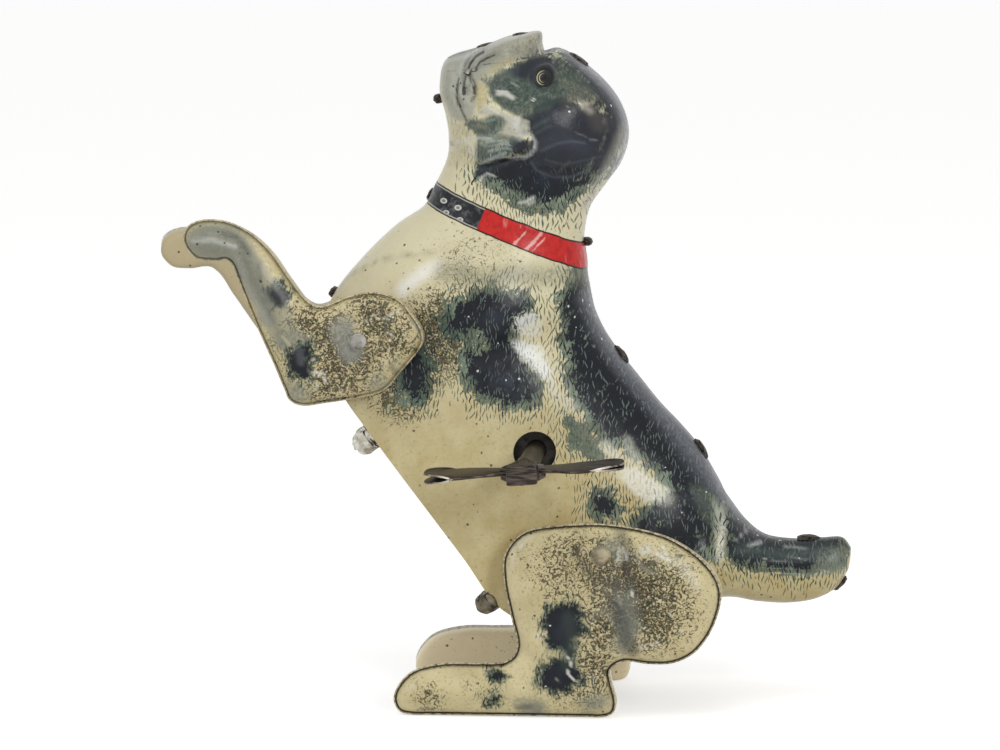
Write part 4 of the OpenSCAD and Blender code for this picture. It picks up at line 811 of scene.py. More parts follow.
# relief over the smooth pressing, in mm outwards
def bodyHeight(x, z):
    h = np.zeros(x.shape)
    for points, _, width, depth in faceLines:
        h += crease(x, z, points, width, depth)
    for centre, radius, height in muzzleBumps:
        h += dome(x, z, centre, radius, height)
    # eye: a socket ring round a raised ball
    d = np.hypot(x - eye["centre"][0], z - eye["centre"][1])
    for height, radius, width in eye["relief"]:
        h += height * np.exp(-((d - radius) / width) ** 2)
    # ear flap, laid back along the cheek, with a few pressed folds
    edge = lineDistance(x, z, earFlap, True)
    over = isInside(x, z, earFlap)
    h += np.where(over, 0.6 * (1 - np.exp(-(edge / 0.45) ** 2)) + 0.12, 0) - 0.2 * np.exp(-(edge / 0.3) ** 2)
    for shift in (-0.45, 0.15, 0.75):
        fold = [(-16.4 + shift, 71.4 + shift), (-13.9, 72.9 + shift * 0.7), (-11.6, 74.1 + shift * 0.6)]
        h += crease(x, z, fold, 0.2, np.where(over, 0.22, 0))
    # collar: a shallow pressed band
    level = x * collar["normal"][0] + z * collar["normal"][1]
    h += 0.14 / (1 + np.exp(-(level - collar["low"]) / 0.08)) / (1 + np.exp((level - collar["high"]) / 0.08))
    # shoulder muscle under its crease, and the haunch
    line = [(-33.0, 55.2), (-29.4, 58.2), (-27.9, 59.2), (-26.1, 59.7), (-24.1, 59.9), (-22.0, 60.0), (-19.4, 59.8),
            (-14.0, 60.0)]
    h += crease(x, z, line, 0.7, 0.4)
    h += dome(x, z, (-24.0, 56.0), 3.6, 0.55) + dome(x, z, (-15.5, 57.0), 3.4, 0.2)
    # tail: a ridge where the dark print ends
    ridge = [(14.0, 19.3), (16.9, 19.0), (20.8, 18.4), (25.0, 18.1), (31.6, 18.0)]
    h += crease(x, z, ridge, 0.45, 0.3)
    h += crease(x, z, [(14.5, 27.3), (15.2, 24.5), (15.0, 21.7), (14.6, 18.0), (13.2, 15.0)], 0.8, 0.35)
    return h


def bodyFields(piece, x, z):
    back = np.maximum(patchDistance(x, z, coatMarks["backDark"]), -0.62)
    dark = np.minimum(patchDistance(x, z, coatMarks["dark"]), back)
    storeField(piece, "darkField", dark)
    storeField(piece, "greenField", patchDistance(x, z, coatMarks["green"]))
    storeField(piece, "paleField", np.clip(0.5 - patchDistance(x, z, coatMarks["pale"]), 0, 1))
    storeField(piece, "wearField", spotSum(x, z, coatMarks["wear"]))
    storeField(piece, "greyField", spotSum(x, z, coatMarks["grey"]))
    line = np.full(x.shape, 9.0)
    for points, printWidth, _, _ in faceLines:
        line = np.minimum(line, lineDistance(x, z, points) - printWidth)
    storeField(piece, "lineField", line)
    soft = np.zeros(x.shape)
    for centre, radius in coatMarks["soft"]:
        soft = np.maximum(soft, np.clip(2 - 1.6 * np.hypot(x - centre[0], z - centre[1]) / radius, 0, 1))
    storeField(piece, "softField", soft)
    storeBrush(piece, x, z, coatMarks["brush"])


def addGrid(name, rows, columns):
    deselectAll()
    bpy.ops.mesh.primitive_grid_add(x_subdivisions=rows, y_subdivisions=columns, size=2)
    piece = bpy.context.object
    piece.name = name
    piece.data.name = name
    co = np.zeros(len(piece.data.vertices) * 3)
    piece.data.vertices.foreach_get("co", co)
    co = co.reshape(-1, 3)
    return piece, (co[:, 0] + 1) / 2, (co[:, 1] + 1) / 2


# how far round an end cap a row is, 0 on the shell and 1 at the pole
def roundShare(u, tailShare, noseShare):
    return np.clip((tailShare - u) / tailShare, 0, 1), np.clip((u - 1 + noseShare) / noseShare, 0, 1)


# even steps along the spine, finer on the head
def rowPlaces(ribs, count=2000):
    places = np.linspace(0, len(ribs) - 1, count)
    rows = splineRow(ribs, places)
    middle = (rows[:, 0:2] + rows[:, 2:4]) / 2
    step = np.hypot(*np.diff(middle, axis=0).T) + 0.5 * np.hypot(*np.diff(rows[:, 0:2], axis=0).T)
    step = step * np.where(places[1:] > bodyShell["headFrom"], bodyShell["headSteps"], 1.0)
    length = np.concatenate([[0], np.cumsum(step)])
    return length / length[-1], places


def bodyPoints(u, v):
    ribs = np.array(bodyShell["ribs"], float)
    tailCap, noseCap = bodyShell["tailCap"], bodyShell["noseCap"]
    tail, nose = roundShare(u, tailCap, noseCap)
    inner = np.clip((u - tailCap) / (1 - tailCap - noseCap), 0, 1)
    share, places = rowPlaces(ribs)
    rows = splineRow(ribs, np.interp(inner, share, places))
    turn = np.pi * np.minimum(1, rows[:, 5])
    angle = turn * v
    across = (1 - np.cos(angle)) / (1 - np.cos(turn))
    x = rows[:, 0] + (rows[:, 2] - rows[:, 0]) * across
    z = rows[:, 1] + (rows[:, 3] - rows[:, 1]) * across
    y = -rows[:, 4] * np.sin(np.clip(angle, 0, np.pi)) ** bodyShell["fullness"]
    # rounded ends on tail and muzzle
    for cap, depth, first, second in ((tail, bodyShell["tailDepth"], ribs[0], ribs[1]),
                                      (nose, bodyShell["noseDepth"], ribs[-1], ribs[-2])):
        shrink = np.cos(cap * np.pi / 2)
        centre = (first[0:2] + first[2:4]) / 2
        out = centre - (second[0:2] + second[2:4]) / 2
        out = out / np.hypot(*out)
        x = np.where(cap > 0, centre[0] + (x - centre[0]) * shrink + out[0] * depth * np.sin(cap * np.pi / 2), x)
        z = np.where(cap > 0, centre[1] + (z - centre[1]) * shrink + out[1] * depth * np.sin(cap * np.pi / 2), z)
        y = np.where(cap > 0, y * shrink, y)
    return np.stack([x, y, z], -1)


# cut a round hole through one wall, with its edge drawn onto the circle
def punchHole(piece, centre, radius):
    mesh = bmesh.new()
    mesh.from_mesh(piece.data)
    cx, cz = centre

    def reach(p):
        return math.hypot(p.x / mm - cx, p.z / mm - cz)
    gone = [f for f in mesh.faces if reach(f.calc_center_median()) < radius]
    bmesh.ops.delete(mesh, geom=gone, context="FACES")
    for vertex in mesh.verts:
        r = reach(vertex.co)
        if vertex.is_boundary and 0.3 * radius < r < radius + 0.5:
            vertex.co.x = (cx + (vertex.co.x / mm - cx) * radius / r) * mm
            vertex.co.z = (cz + (vertex.co.z / mm - cz) * radius / r) * mm
    mesh.to_mesh(piece.data)
    mesh.free()


# normals point away from the centre plane
def recalculateOutside(piece, side):
    mesh = bmesh.new()
    mesh.from_mesh(piece.data)
    bmesh.ops.remove_doubles(mesh, verts=mesh.verts, dist=0.00001)
    bmesh.ops.recalc_face_normals(mesh, faces=mesh.faces)
    big = max(mesh.faces, key=lambda f: abs(f.normal.y) if abs(f.calc_center_median().y) > 0.008 else -1)
    if big.normal.y * side < 0:
        bmesh.ops.reverse_faces(mesh, faces=mesh.faces)
    mesh.to_mesh(piece.data)
    mesh.free()


def pressedHalf(name, node, side):
    piece, u, v = addGrid(name, bodyShell["rows"], bodyShell["columns"])
    step = 1e-3
    here = bodyPoints(u, v)
    alongRow = bodyPoints(np.minimum(u + step, 1), v) - bodyPoints(np.maximum(u - step, 0), v)
    aroundRow = bodyPoints(u, np.minimum(v + step, 1)) - bodyPoints(u, np.maximum(v - step, 0))
    normal = np.cross(alongRow, aroundRow)
    size = np.linalg.norm(normal, axis=1, keepdims=True)
    normal = np.where(size > 1e-9, normal / np.maximum(size, 1e-9), 0)
    centreward = np.sum(normal * np.stack([here[:, 0] * 0, -np.ones(len(u)), here[:, 2] * 0], -1), 1)
    normal = normal * (1 if np.median(centreward) > 0 else -1)
    # the relief fades out at the seam and at both ends
    fade = np.clip(np.minimum(v, 1 - v) / bodyShell["seamFade"], 0, 1)
    fade = fade * np.clip(np.minimum(u, 1 - u) / bodyShell["endFade"] - 0.4, 0, 1)
    height = bodyHeight(here[:, 0], here[:, 2]) * fade
    here = here + normal * height[:, None]
    here[:, 1] = np.minimum(here[:, 1], 0) * -side
    piece.data.vertices.foreach_set("co", (here * mm).ravel())
    piece.data.update()
    bodyFields(piece, here[:, 0], here[:, 2])
    recalculateOutside(piece, side)
    if side < 0:
        punchHole(piece, *bodyShell["keyHole"])
    punchHole(piece, *bodyShell["hipHole"])
    punchHole(piece, *bodyShell["shoulderHole"])
    for material in (bodyCoat, bareTin, cutEdge):
        piece.data.materials.append(material)
    applyModifier(piece, "SOLIDIFY", thickness=bodyShell["sheet"] * mm, offset=-1, use_even_offset=False,
                  material_offset=1, material_offset_rim=2)
    smooth(piece, 50)
    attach(piece, "body")
    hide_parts(node)
    return piece


leftHalf = pressedHalf("bodyShellLeft", "body_left", -1)
pressedHalf("bodyShellRight", "body_right", 1)
print("body halves ready", len(leftHalf.data.polygons))


# a leg pressing: outline, face and rim distance from the centre plane, crown of its face, and its own print, whose
# brush marks include painted highlights, glints and shade
hindLeg = {
    "outline": [
        (-6.3, 25.1), (-10.3, 24.1), (-12.6, 21.3), (-12.7, 17.6), (-11.8, 13.2), (-11, 9.3), (-12.4, 7.3),
        (-16, 7), (-20.5, 6.9), (-24.2, 6), (-26.2, 4.3), (-27.1, 2.3), (-26.5, 0.6), (-24.8, 0.05), (-21, 0.05),
        (-15, 0.05), (-8, 0.05), (-2, 0.05), (0, 0.05), (1.5, 0.6), (1.9, 2.2), (1.3, 4.6), (1.2, 6.3), (3, 7.4),
        (6.2, 7.1), (9.4, 7.3), (12.2, 8.8), (14.4, 11.9), (15.5, 16), (14.6, 19), (11.8, 21.9), (7.4, 24.2),
        (0.6, 25.4)],
    "rimShade": 1.0, "face": 16.95, "rim": 12.05, "lean": 0.45, "crown": 0.9, "crownRun": 1.7, "pin": (0, 21.5),
    "dark": [
        [(-6.6, 14.6), (-4.5, 15.0), (-2.7, 14.0), (-2.5, 11.6), (-3.4, 10.3), (-4.0, 8.7), (-5.5, 8.5),
         (-7.0, 10.2), (-7.3, 12.6)],
        [(-7.0, 7.6), (-4.9, 8.1), (-3.6, 7.6), (-2.9, 5.5), (-3.4, 4.0), (-5.5, 3.3), (-7.5, 4.1), (-8.1, 5.8)],
        [(-14.4, 6.0), (-13.3, 6.2), (-12.7, 5.4), (-13.5, 4.9), (-14.2, 5.2)],
        [(-15.0, 2.3), (-14.1, 3.0), (-13.3, 2.8), (-13.7, 2.1), (-14.7, 1.8)]],
    "chips": [[(-4.2, 8.5), (-3.6, 8.5), (-3.6, 6.9), (-3.3, 5.3), (-4.0, 5.5), (-4.7, 5.8), (-4.1, 6.8)],
              [(-5.5, 5.2), (-5.1, 5.9), (-4.9, 5.5), (-5.3, 5.0)], [(-7.9, 10.6), (-6.5, 11.3), (-7.0, 10.9)],
              [(2.2, 22.6), (2.7, 22.6), (2.6, 20.6), (2.1, 20.2)], [(2.3, 16.5), (2.8, 15.0), (2.3, 15.1)],
              [(-10.9, 22.8), (-9.9, 22.8), (-10.3, 22.2)], [(5.0, 22.6), (6.2, 23.0), (6.4, 21.9), (5.2, 21.6)],
              [(4.6, 9.7), (5.9, 10.1), (5.0, 9.2)]],
    "grey": [((-10.0, 1.5), 1.6, 0.8), ((-8.0, 1.3), 1.4, 0.8), ((-1.6, 2.0), 1.8, 0.7), ((0.4, 2.4), 1.2, 0.6),
             ((1.4, 22.6), 2.0, 0.75), ((3.6, 12.2), 1.9, 0.9), ((3.4, 15.4), 1.9, 0.6), ((2.6, 9.6), 1.6, 0.7),
             ((-10.8, 22.6), 1.3, 0.4), ((7.2, 20.2), 2.0, 0.3), ((1.0, 17.5), 2.6, 0.35)],
    "wear": [((1.5, 19.5), 4.2, 0.75), ((4.5, 16.5), 4.5, 0.85), ((9.5, 19.0), 3.5, 0.6), ((6.5, 11.8), 3.6, 0.7),
             ((-3.5, 21.5), 3.6, 0.5), ((-7.5, 20.0), 3.2, 0.42), ((-5.5, 16.4), 2.4, 0.35), ((0.0, 12.0), 3.2, 0.8),
             ((-0.8, 7.0), 2.4, 0.75), ((-1.6, 3.6), 2.8, 0.55), ((-5.5, 1.8), 2.6, 0.2), ((-22.5, 2.4), 2.4, 0.55),
             ((-17.0, 4.4), 2.0, 0.2), ((10.5, 14.0), 3.6, 0.35), ((-14.2, 3.0), 1.6, 0.4)],
    "brush": [
        ("#4d4c43", 0.55, 0.7, 1.4, [(2.5, 24.8), (3.5, 22.2), (3.8, 18.0)]),
        ("#34403b", 0.75, 0.8, 1.2, [(-4.2, 13.4), (-3.6, 10.4), (-4.4, 7.2)]),
        ("#3f3c33", 0.5, 0.5, 1.4, [(-3.4, 22.4), (-1.9, 19.6), (0.6, 18.0), (2.4, 17.4)]),
        # painted highlight on the haunch
        ("#d8d2b8", 0.5, 0.6, 1.4, [(6.6, 22.2), (10.4, 20.6), (12.4, 17.4)]),
        ("#464b49", 0.7, 0.95, 1.1, [(2.0, 14.9), (3.2, 11.0), (4.1, 9.2)]),
        # painted glints on the thigh and hock
        ("#f0efe8", 0.9, 0.12, 0.2, [(7.2, 21.8), (8.9, 21.0)]),
        ("#f0efe8", 0.9, 0.09, 0.15, [(8.0, 22.6), (8.3, 21.8)]),
        ("#e6e4d8", 0.85, 0.08, 0.12, [(9.6, 21.5), (10.1, 21.0)]),
        ("#c9cac4", 0.8, 0.16, 0.25, [(3.0, 22.4), (3.5, 20.9)]),
        ("#e6e4d8", 0.85, 0.1, 0.15, [(8.9, 14.3), (9.1, 13.7)]),
        ("#e6e4d8", 0.8, 0.09, 0.15, [(5.8, 9.5), (7.7, 10.5)]),
        ("#dcdacb", 0.7, 0.09, 0.15, [(6.6, 10.0), (8.3, 10.1)]),
        ("#e6e4d8", 0.8, 0.08, 0.12, [(10.4, 12.1), (10.7, 11.6)]),
        ("#ecebe2", 0.95, 0.08, 0.1, [(3.8, 18.0), (4.1, 16.4)]),
        ("#ecebe2", 0.9, 0.1, 0.1, [(-4.4, 8.4), (-3.8, 7.4), (-4.3, 6.1), (-3.5, 5.3)]),
        ("#ecebe2", 0.9, 0.07, 0.1, [(-5.6, 5.3), (-5.3, 5.0)]),
        ("#ecebe2", 0.85, 0.06, 0.1, [(-8.5, 10.8), (-7.4, 11.5)]),
        # painted glare along the front edge of the thigh
        ("#d9d8cc", 0.6, 0.16, 0.5, [(-11.4, 22.4), (-11.6, 19.8)]),
        ("#a7a596", 0.6, 0.2, 0.5, [(4.4, 22.3), (5.1, 20.3), (6.7, 19.4)]),
        ("#d2cfbd", 0.5, 0.3, 0.7, [(-10.5, 23.1), (-9.2, 23.7)]),
        ("#4b4a45", 0.6, 0.25, 0.4, [(-11.1, 1.4), (-9.1, 1.5)]),
        ("#5b5c56", 0.6, 0.2, 0.3, [(-23.5, 0.9), (-21.8, 1.1)]),
        ("#8a8878", 0.5, 0.35, 0.6, [(-1.1, 13.4), (0.6, 14.4), (1.5, 13.1)]),
        ("#dad6c2", 0.5, 0.2, 0.4, [(-25.1, 3.5), (-24.4, 4.2)]),
    ],
}

foreLeg = {
    "outline": [
        (-51.6, 64.6), (-53.7, 63.6), (-54.1, 61.6), (-52.6, 59.6), (-50.2, 59.2), (-48.1, 59.1), (-46.6, 55.6),
        (-44.7, 50.9), (-42.6, 46.2), (-41.2, 42.9), (-40.4, 41.2), (-38.6, 40.5), (-35.8, 40.9), (-31.6, 41.6),
        (-28.2, 42.6), (-26, 45), (-24, 47.4), (-23.1, 49), (-23.3, 50.6), (-24.4, 52.4), (-26.3, 54.5),
        (-29.4, 55.4), (-32.8, 54.8), (-36.2, 53.5), (-38.2, 54.4), (-40.4, 57.2), (-42.8, 60.6), (-45.4, 63),
        (-48.4, 64.4)],
    "rimShade": 0.38, "face": 18.05, "rim": 13.45, "lean": 0.45, "crown": 0.9, "crownRun": 1.6, "pin": (-31.2, 49.2),
    "dark": [
        [(-42.9, 55.6), (-41.9, 56.6), (-40.7, 56.2), (-40.3, 55.0), (-41.0, 53.8), (-42.2, 53.7)],
        [(-40.4, 47.9), (-38.9, 48.6), (-37.4, 48.2), (-37.2, 47.4), (-37.9, 46.4), (-37.9, 45.3), (-37.5, 44.6),
         (-38.3, 44.3), (-40.0, 45.0), (-40.6, 46.2)]],
    "chips": [[(-28.2, 52.2), (-25.9, 53.3), (-25.8, 53.1), (-28.0, 51.9)], [(-36.9, 43.8), (-36.6, 43.8),
              (-36.5, 42.6), (-36.8, 42.6)], [(-27.6, 50.6), (-26.7, 50.1), (-26.9, 49.7)]],
    "grey": [((-50.0, 61.6), 2.8, 1.0), ((-52.0, 62.0), 2.0, 1.0), ((-47.5, 61.6), 2.4, 1.0),
             ((-45.6, 58.5), 2.2, 0.95), ((-44.4, 55.4), 1.8, 0.95), ((-43.0, 52.2), 1.7, 0.95),
             ((-41.3, 49.2), 1.5, 0.85), ((-38.6, 49.0), 1.5, 0.9), ((-39.4, 42.4), 2.2, 0.85),
             ((-32.8, 51.2), 2.0, 0.7), ((-32.4, 47.6), 1.7, 0.8), ((-28.8, 43.6), 1.8, 0.7),
             ((-26.6, 46.4), 1.4, 0.5), ((-43.3, 54.2), 1.0, 0.9)],
    "wear": [((-36.0, 51.0), 3.2, 0.8), ((-31.5, 45.8), 3.4, 0.85), ((-34.5, 47.5), 2.6, 0.6),
             ((-35.5, 43.0), 3.0, 0.8), ((-40.0, 45.5), 2.4, 0.5), ((-28.0, 51.0), 3.4, 0.85),
             ((-39.2, 51.8), 2.0, 0.65), ((-42.2, 48.8), 1.6, 0.45), ((-30.0, 53.5), 2.4, 0.7),
             ((-25.5, 49.0), 2.2, 0.6), ((-47.0, 57.6), 1.4, 0.35), ((-45.6, 56.5), 1.4, 0.4)],
    "brush": [
        ("#7f8176", 0.6, None, 1.0, [(-53.2, 61.5), (-51.5, 63.6), (-48.0, 63.4), (-45.2, 61.4), (-42.4, 57.4), (-40.2,
         53.6), (-38.8, 50.0), (-41.2, 47.6), (-43.6, 51.4), (-45.8, 56.6), (-47.6, 60.2), (-51.0, 60.2)]),
        # painted highlight on the paw
        ("#b8b9b3", 0.75, 0.3, 0.6, [(-52.6, 61.9), (-50.3, 62.2), (-47.3, 61.2)]),
        # painted shade in the groove of the paw
        ("#5f605c", 0.7, 0.3, 0.5, [(-48.8, 62.9), (-46.9, 62.3), (-45.4, 60.3)]),
        ("#9b9c94", 0.6, 0.3, 0.6, [(-47.0, 59.5), (-45.7, 55.8), (-43.2, 51.6)]),
        ("#b3a585", 0.85, 0.22, 0.3, [(-45.8, 63.1), (-43.2, 60.7), (-41.3, 58.1), (-38.5, 54.7)]),
        ("#5b5c5c", 0.6, 0.25, 0.4, [(-44.1, 59.2), (-44.0, 56.9)]),
        ("#8f908a", 0.7, 1.5, 1.6, [(-33.5, 50.4), (-32.2, 48.2)]),
        ("#34322e", 0.8, 0.12, 0.35, [(-31.9, 50.5), (-32.6, 49.7), (-32.5, 48.6), (-31.8, 47.9)]),
        ("#4a4234", 0.6, 0.2, 0.6, [(-28.6, 54.2), (-27.4, 51.6), (-28.2, 48.8), (-30.2, 46.2)]),
        ("#cfcfc4", 0.8, 0.07, 0.1, [(-30.3, 51.8), (-28.9, 52.7)]),
        ("#e3e2d8", 0.85, 0.06, 0.09, [(-35.7, 44.9), (-35.6, 43.8)]),
        ("#e3e2d8", 0.8, 0.05, 0.09, [(-37.0, 46.8), (-38.0, 46.2), (-37.8, 45.1), (-35.7, 45.0)]),
        ("#57585c", 0.7, 0.5, 0.5, [(-38.9, 47.9), (-38.7, 46.4)]),
        ("#c3b995", 0.7, 0.2, 0.3, [(-41.2, 49.8), (-40.2, 48.7)]),
        ("#20242a", 0.85, 0.7, 0.9, [(-42.2, 55.3), (-41.6, 54.3)]),
        ("#6b6155", 0.6, 0.35, 0.5, [(-27.1, 45.8), (-26.3, 44.7)]),
        ("#1c1a18", 0.9, 0.06, 0.1, [(-25.2, 47.8), (-23.0, 48.1), (-22.3, 48.5), (-22.8, 49.8)]),
        ("#b9b6a6", 0.6, 0.25, 0.4, [(-24.5, 51.8), (-23.3, 50.3)]),
    ],
}


# relief of a hind leg's face: haunch, hock, ankle and toes
def hindHeight(x, z):
    h = dome(x, z, (6.6, 16.5), 5.4, 0.35) - dome(x, z, (3.2, 12.4), 1.6, 0.35)
    h += dome(x, z, (-0.2, 11.9), 2.1, 0.55)
    h -= 0.14 * np.exp(-((np.hypot(x + 0.2, z - 11.9) - 2.4) / 0.4) ** 2)
    h += crease(x, z, [(2.6, 20.0), (3.2, 16.5), (3.0, 12.5), (1.6, 8.6)], 0.8, 0.35)
    h += crease(x, z, [(-11.4, 8.4), (-7.5, 6.9), (-3.0, 6.2), (1.0, 6.6)], 0.9, 0.3)
    for i in range(5):
        turn = math.radians(-24 + 11 * i)
        reach = [(6.9 + r * math.cos(turn), 16.7 + r * math.sin(turn)) for r in (2.0, 5.0)]
        h += crease(x, z, reach, 0.25, 0.12)
    for toe in (-23.4, -21.4):
        h += crease(x, z, [(toe - 1.4, 1.2), (toe, 3.4)], 0.35, 0.25)
    return h


# relief of a foreleg's face: paw, arm, hub and elbow
def foreHeight(x, z):
    h = crease(x, z, [(-53.0, 62.3), (-50.9, 63.4), (-48.1, 62.8), (-46.2, 60.6)], 0.7, 0.5)
    h += dome(x, z, (-50.4, 61.2), 1.8, 0.25)
    h += crease(x, z, [(-46.6, 60.2), (-45.3, 57.0), (-43.6, 53.4), (-41.6, 49.6)], 0.5, 0.35)
    h += dome(x, z, (-31.2, 49.2), 1.9, 0.5) + dome(x, z, (-27.0, 50.6), 3.0, 0.3)
    h += crease(x, z, [(-27.6, 54.6), (-26.6, 51.8), (-27.4, 48.4), (-29.6, 45.0)], 0.7, 0.35)
    h += crease(x, z, [(-40.0, 52.6), (-37.4, 51.2), (-35.6, 48.4), (-36.4, 45.4)], 0.8, 0.3)
    return h


# outward normals of a closed ring
def ringNormals(ring):
    along = np.roll(ring, -1, axis=0) - np.roll(ring, 1, axis=0)
    return np.stack([along[:, 1], -along[:, 0]], -1) / np.hypot(along[:, 0], along[:, 1])[:, None]


# inset from the outline and drop below the face, from the wall over the lip and groove to the face
pressedEdge = [(0.0, 1.0), (0.05, 0.84), (0.14, 0.78), (0.22, 0.84), (0.3, 0.98), (0.4, 0.86), (0.5, 0.5),
               (0.68, 0.22), (0.92, 0.05)]
# points round a leg, spacing of the points on its face and inner plate, and the turned corner between them (mm);
# what lies deeper than behindFrom is the inner plate's
legPressing = {"points": 420, "faceStep": 0.36, "plateStep": 0.9, "cornerDepth": 0.9, "cornerWidth": 0.8,
               "behindFrom": 1.2, "relief": (-0.7, 0.45), "highest": 0.35}


# triangles over the inside of a closed ring, whose own points come first in order
def fillRing(ring, step):
    low, high = ring.min(0), ring.max(0)
    xs, zs = np.meshgrid(np.arange(low[0], high[0], step), np.arange(low[1], high[1], step))
    xs, zs = xs.ravel(), zs.ravel()
    keep = isInside(xs, zs, ring) & (lineDistance(xs, zs, ring, True) > step * 0.5)
    points = [Vector(p) for p in ring] + [Vector((x, z)) for x, z in zip(xs[keep], zs[keep])]
    edges = [(i, (i + 1) % len(ring)) for i in range(len(ring))]
    flat = delaunay_2d_cdt(points, edges, [], 1, 1e-6)
    at = {sources[0]: i for i, sources in enumerate(flat[3]) if sources and sources[0] < len(ring)}
    return np.array([tuple(p) for p in flat[0]]), [tuple(f) for f in flat[2]], [at[i] for i in range(len(ring))]


# one leg: the printed face, its groove and lip, the wall, and the plain inner plate
def pressedPanel(name, leg, heightAt, place, side):
    outline = closedSpline(leg["outline"], legPressing["points"])
    count = len(outline)
    face = leg["face"] - leg["crown"]
    normal = ringNormals(outline)
    rings = [outline - normal * inset for inset, drop in pressedEdge]
    co, faces, last = fillRing(rings[-1], legPressing["faceStep"])
    drop = np.full(len(co), pressedEdge[-1][1])

    def addRing(ring, down):
        nonlocal co, drop, last, faces
        first = len(co)
        co = np.concatenate([co, ring])
        drop = np.concatenate([drop, np.full(count, down)])
        faces += [(last[i], last[(i + 1) % count], first + (i + 1) % count, first + i) for i in range(count)]
        last = list(range(first, first + count))
    for ring, (inset, down) in zip(rings[-2::-1], pressedEdge[-2::-1]):
        addRing(ring, down)
    # the wall leans in a little along the top and front, and turns into the inner plate
    lean = leg["lean"] * np.clip(normal[:, 0] * -0.5 + normal[:, 1] * 0.86, 0, 1)[:, None]
    depth = face - leg["rim"]
    corner = legPressing["cornerDepth"]
    addRing(outline - normal * lean, depth - corner)
    for turn in np.radians([30, 60, 90]):
        inner = outline - normal * (lean + legPressing["cornerWidth"] * (1 - math.cos(turn)))
        addRing(inner, depth - corner * (1 - math.sin(turn)))
    backCo, backFaces, backRing = fillRing(inner, legPressing["plateStep"])
    shift = len(co)
    join = {b: last[i] for i, b in enumerate(backRing)}
    co = np.concatenate([co, backCo])
    drop = np.concatenate([drop, np.full(len(backCo), depth)])
    faces += [tuple(join.get(i, shift + i) for i in f) for f in backFaces]
    x2, z2 = co[:, 0], co[:, 1]
    behind = drop > legPressing["behindFrom"]
    edge = np.where(behind, 0, lineDistance(x2, z2, outline, True))
    crown = leg["crown"] * (1 - np.exp(-(np.maximum(edge - 0.5, 0) / leg["crownRun"]) ** 2))
    fade = 1 - np.exp(-(np.maximum(edge - 0.5, 0) / 0.7) ** 2)
    lower = np.where(edge > 0.95, drop * 0.02, drop)
    y = face - lower + crown + np.clip(heightAt(x2, z2) * fade, *legPressing["relief"])
    y = np.minimum(y, leg["face"] + legPressing["highest"])
    px, pz = place(x2, z2)
    mesh = bpy.data.meshes.new(name)
    mesh.from_pydata([(a * mm, side * b * mm, c * mm) for a, b, c in zip(px, y, pz)], [], faces)
    piece = bpy.data.objects.new(name, mesh)
    bpy.context.scene.collection.objects.link(piece)
    storeField(piece, "darkField", np.where(behind, 9, patchDistance(x2, z2, leg["dark"])))
    storeField(piece, "greenField", np.where(behind, 9, patchDistance(x2, z2, leg["dark"]) - 0.45))
    storeField(piece, "lineField", np.full(x2.shape, 9.0))
    chips = np.clip(0.5 - patchDistance(x2, z2, leg["chips"]) / 0.3, 0, 1)
    storeField(piece, "paleField", np.where(behind, 0, chips))
    storeField(piece, "rimField", np.where(behind, -1.0, edge))
    storeField(piece, "rimShade", np.full(edge.shape, leg["rimShade"]))
    storeField(piece, "wearField", np.where(behind, 0.05, spotSum(x2, z2, leg["wear"])))
    storeField(piece, "greyField", np.where(behind, 0.05, spotSum(x2, z2, leg["grey"])))
    storeField(piece, "softField", np.ones(x2.shape))
    storeBrush(piece, x2, z2, leg["brush"], np.where(behind, 0.0, 1.0))
    # loose points of the inner plate's ring were joined to the wall
    tidy = bmesh.new()
    tidy.from_mesh(piece.data)
    bmesh.ops.delete(tidy, geom=[v for v in tidy.verts if not v.link_faces], context="VERTS")
    bmesh.ops.recalc_face_normals(tidy, faces=tidy.faces)
    tidy.to_mesh(piece.data)
    tidy.free()
    return piece


def pressedLeg(name, node, body, leg, heightAt, place, side):
    piece = pressedPanel(name, leg, heightAt, place, side)
    piece.data.materials.append(legCoat)
    smooth(piece, 50)
    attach(piece, body)
    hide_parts(node)
    return piece


def asDrawn(x, z):
    return x, z


farFore = {"reach": 3.6, "drop": 2.8, "turn": 3, "longer": 3.3, "wrist": -44.0, "paw": -50.0}


# the far foreleg reaches further and hangs lower, turned about the shoulder pin, and its paw is longer
def farPlace(x, z):
    cx, cz = foreLeg["pin"]
    x = x - farFore["longer"] * np.clip((x - farFore["wrist"]) / (farFore["paw"] - farFore["wrist"]), 0, 1)
    x, z = x - farFore["reach"], z - farFore["drop"]
    turn = math.radians(farFore["turn"])
    dx, dz = x - cx, z - cz
    return cx + dx * math.cos(turn) - dz * math.sin(turn), cz + dx * math.sin(turn) + dz * math.cos(turn)


pressedLeg("hindLegLeft", "hind_leg_left", "hind_legs", hindLeg, hindHeight, asDrawn, -1)
pressedLeg("hindLegRight", "hind_leg_right", "hind_legs", hindLeg, hindHeight, asDrawn, 1)
pressedLeg("foreLegLeft", "front_leg_left", "left_foreleg", foreLeg, foreHeight, asDrawn, -1)
pressedLeg("foreLegRight", "front_leg_right", "right_foreleg", foreLeg, foreHeight, farPlace, 1)
print("legs ready")


# the key is sheet folded double: two flat wings whose layers part at the tips, crimped to a block on the arbor
windingKey = {
    "axis": (-9.0, 34.1), "front": -33.0, "back": -24.0, "half": 12.75, "tilt": 4.0, "thick": 0.3,
    "waist": 1.9, "width": 4.45, "splitLeft": 0.46, "splitRight": 0.16, "wall": 0.24,
    "blockWide": 3.9, "blockHigh": 2.5, "blockFront": -33.6, "blockBack": -30.4, "neckRadius": 1.42,
    "neckStart": (2.9, 1.0), "neckLength": 4.2,
}


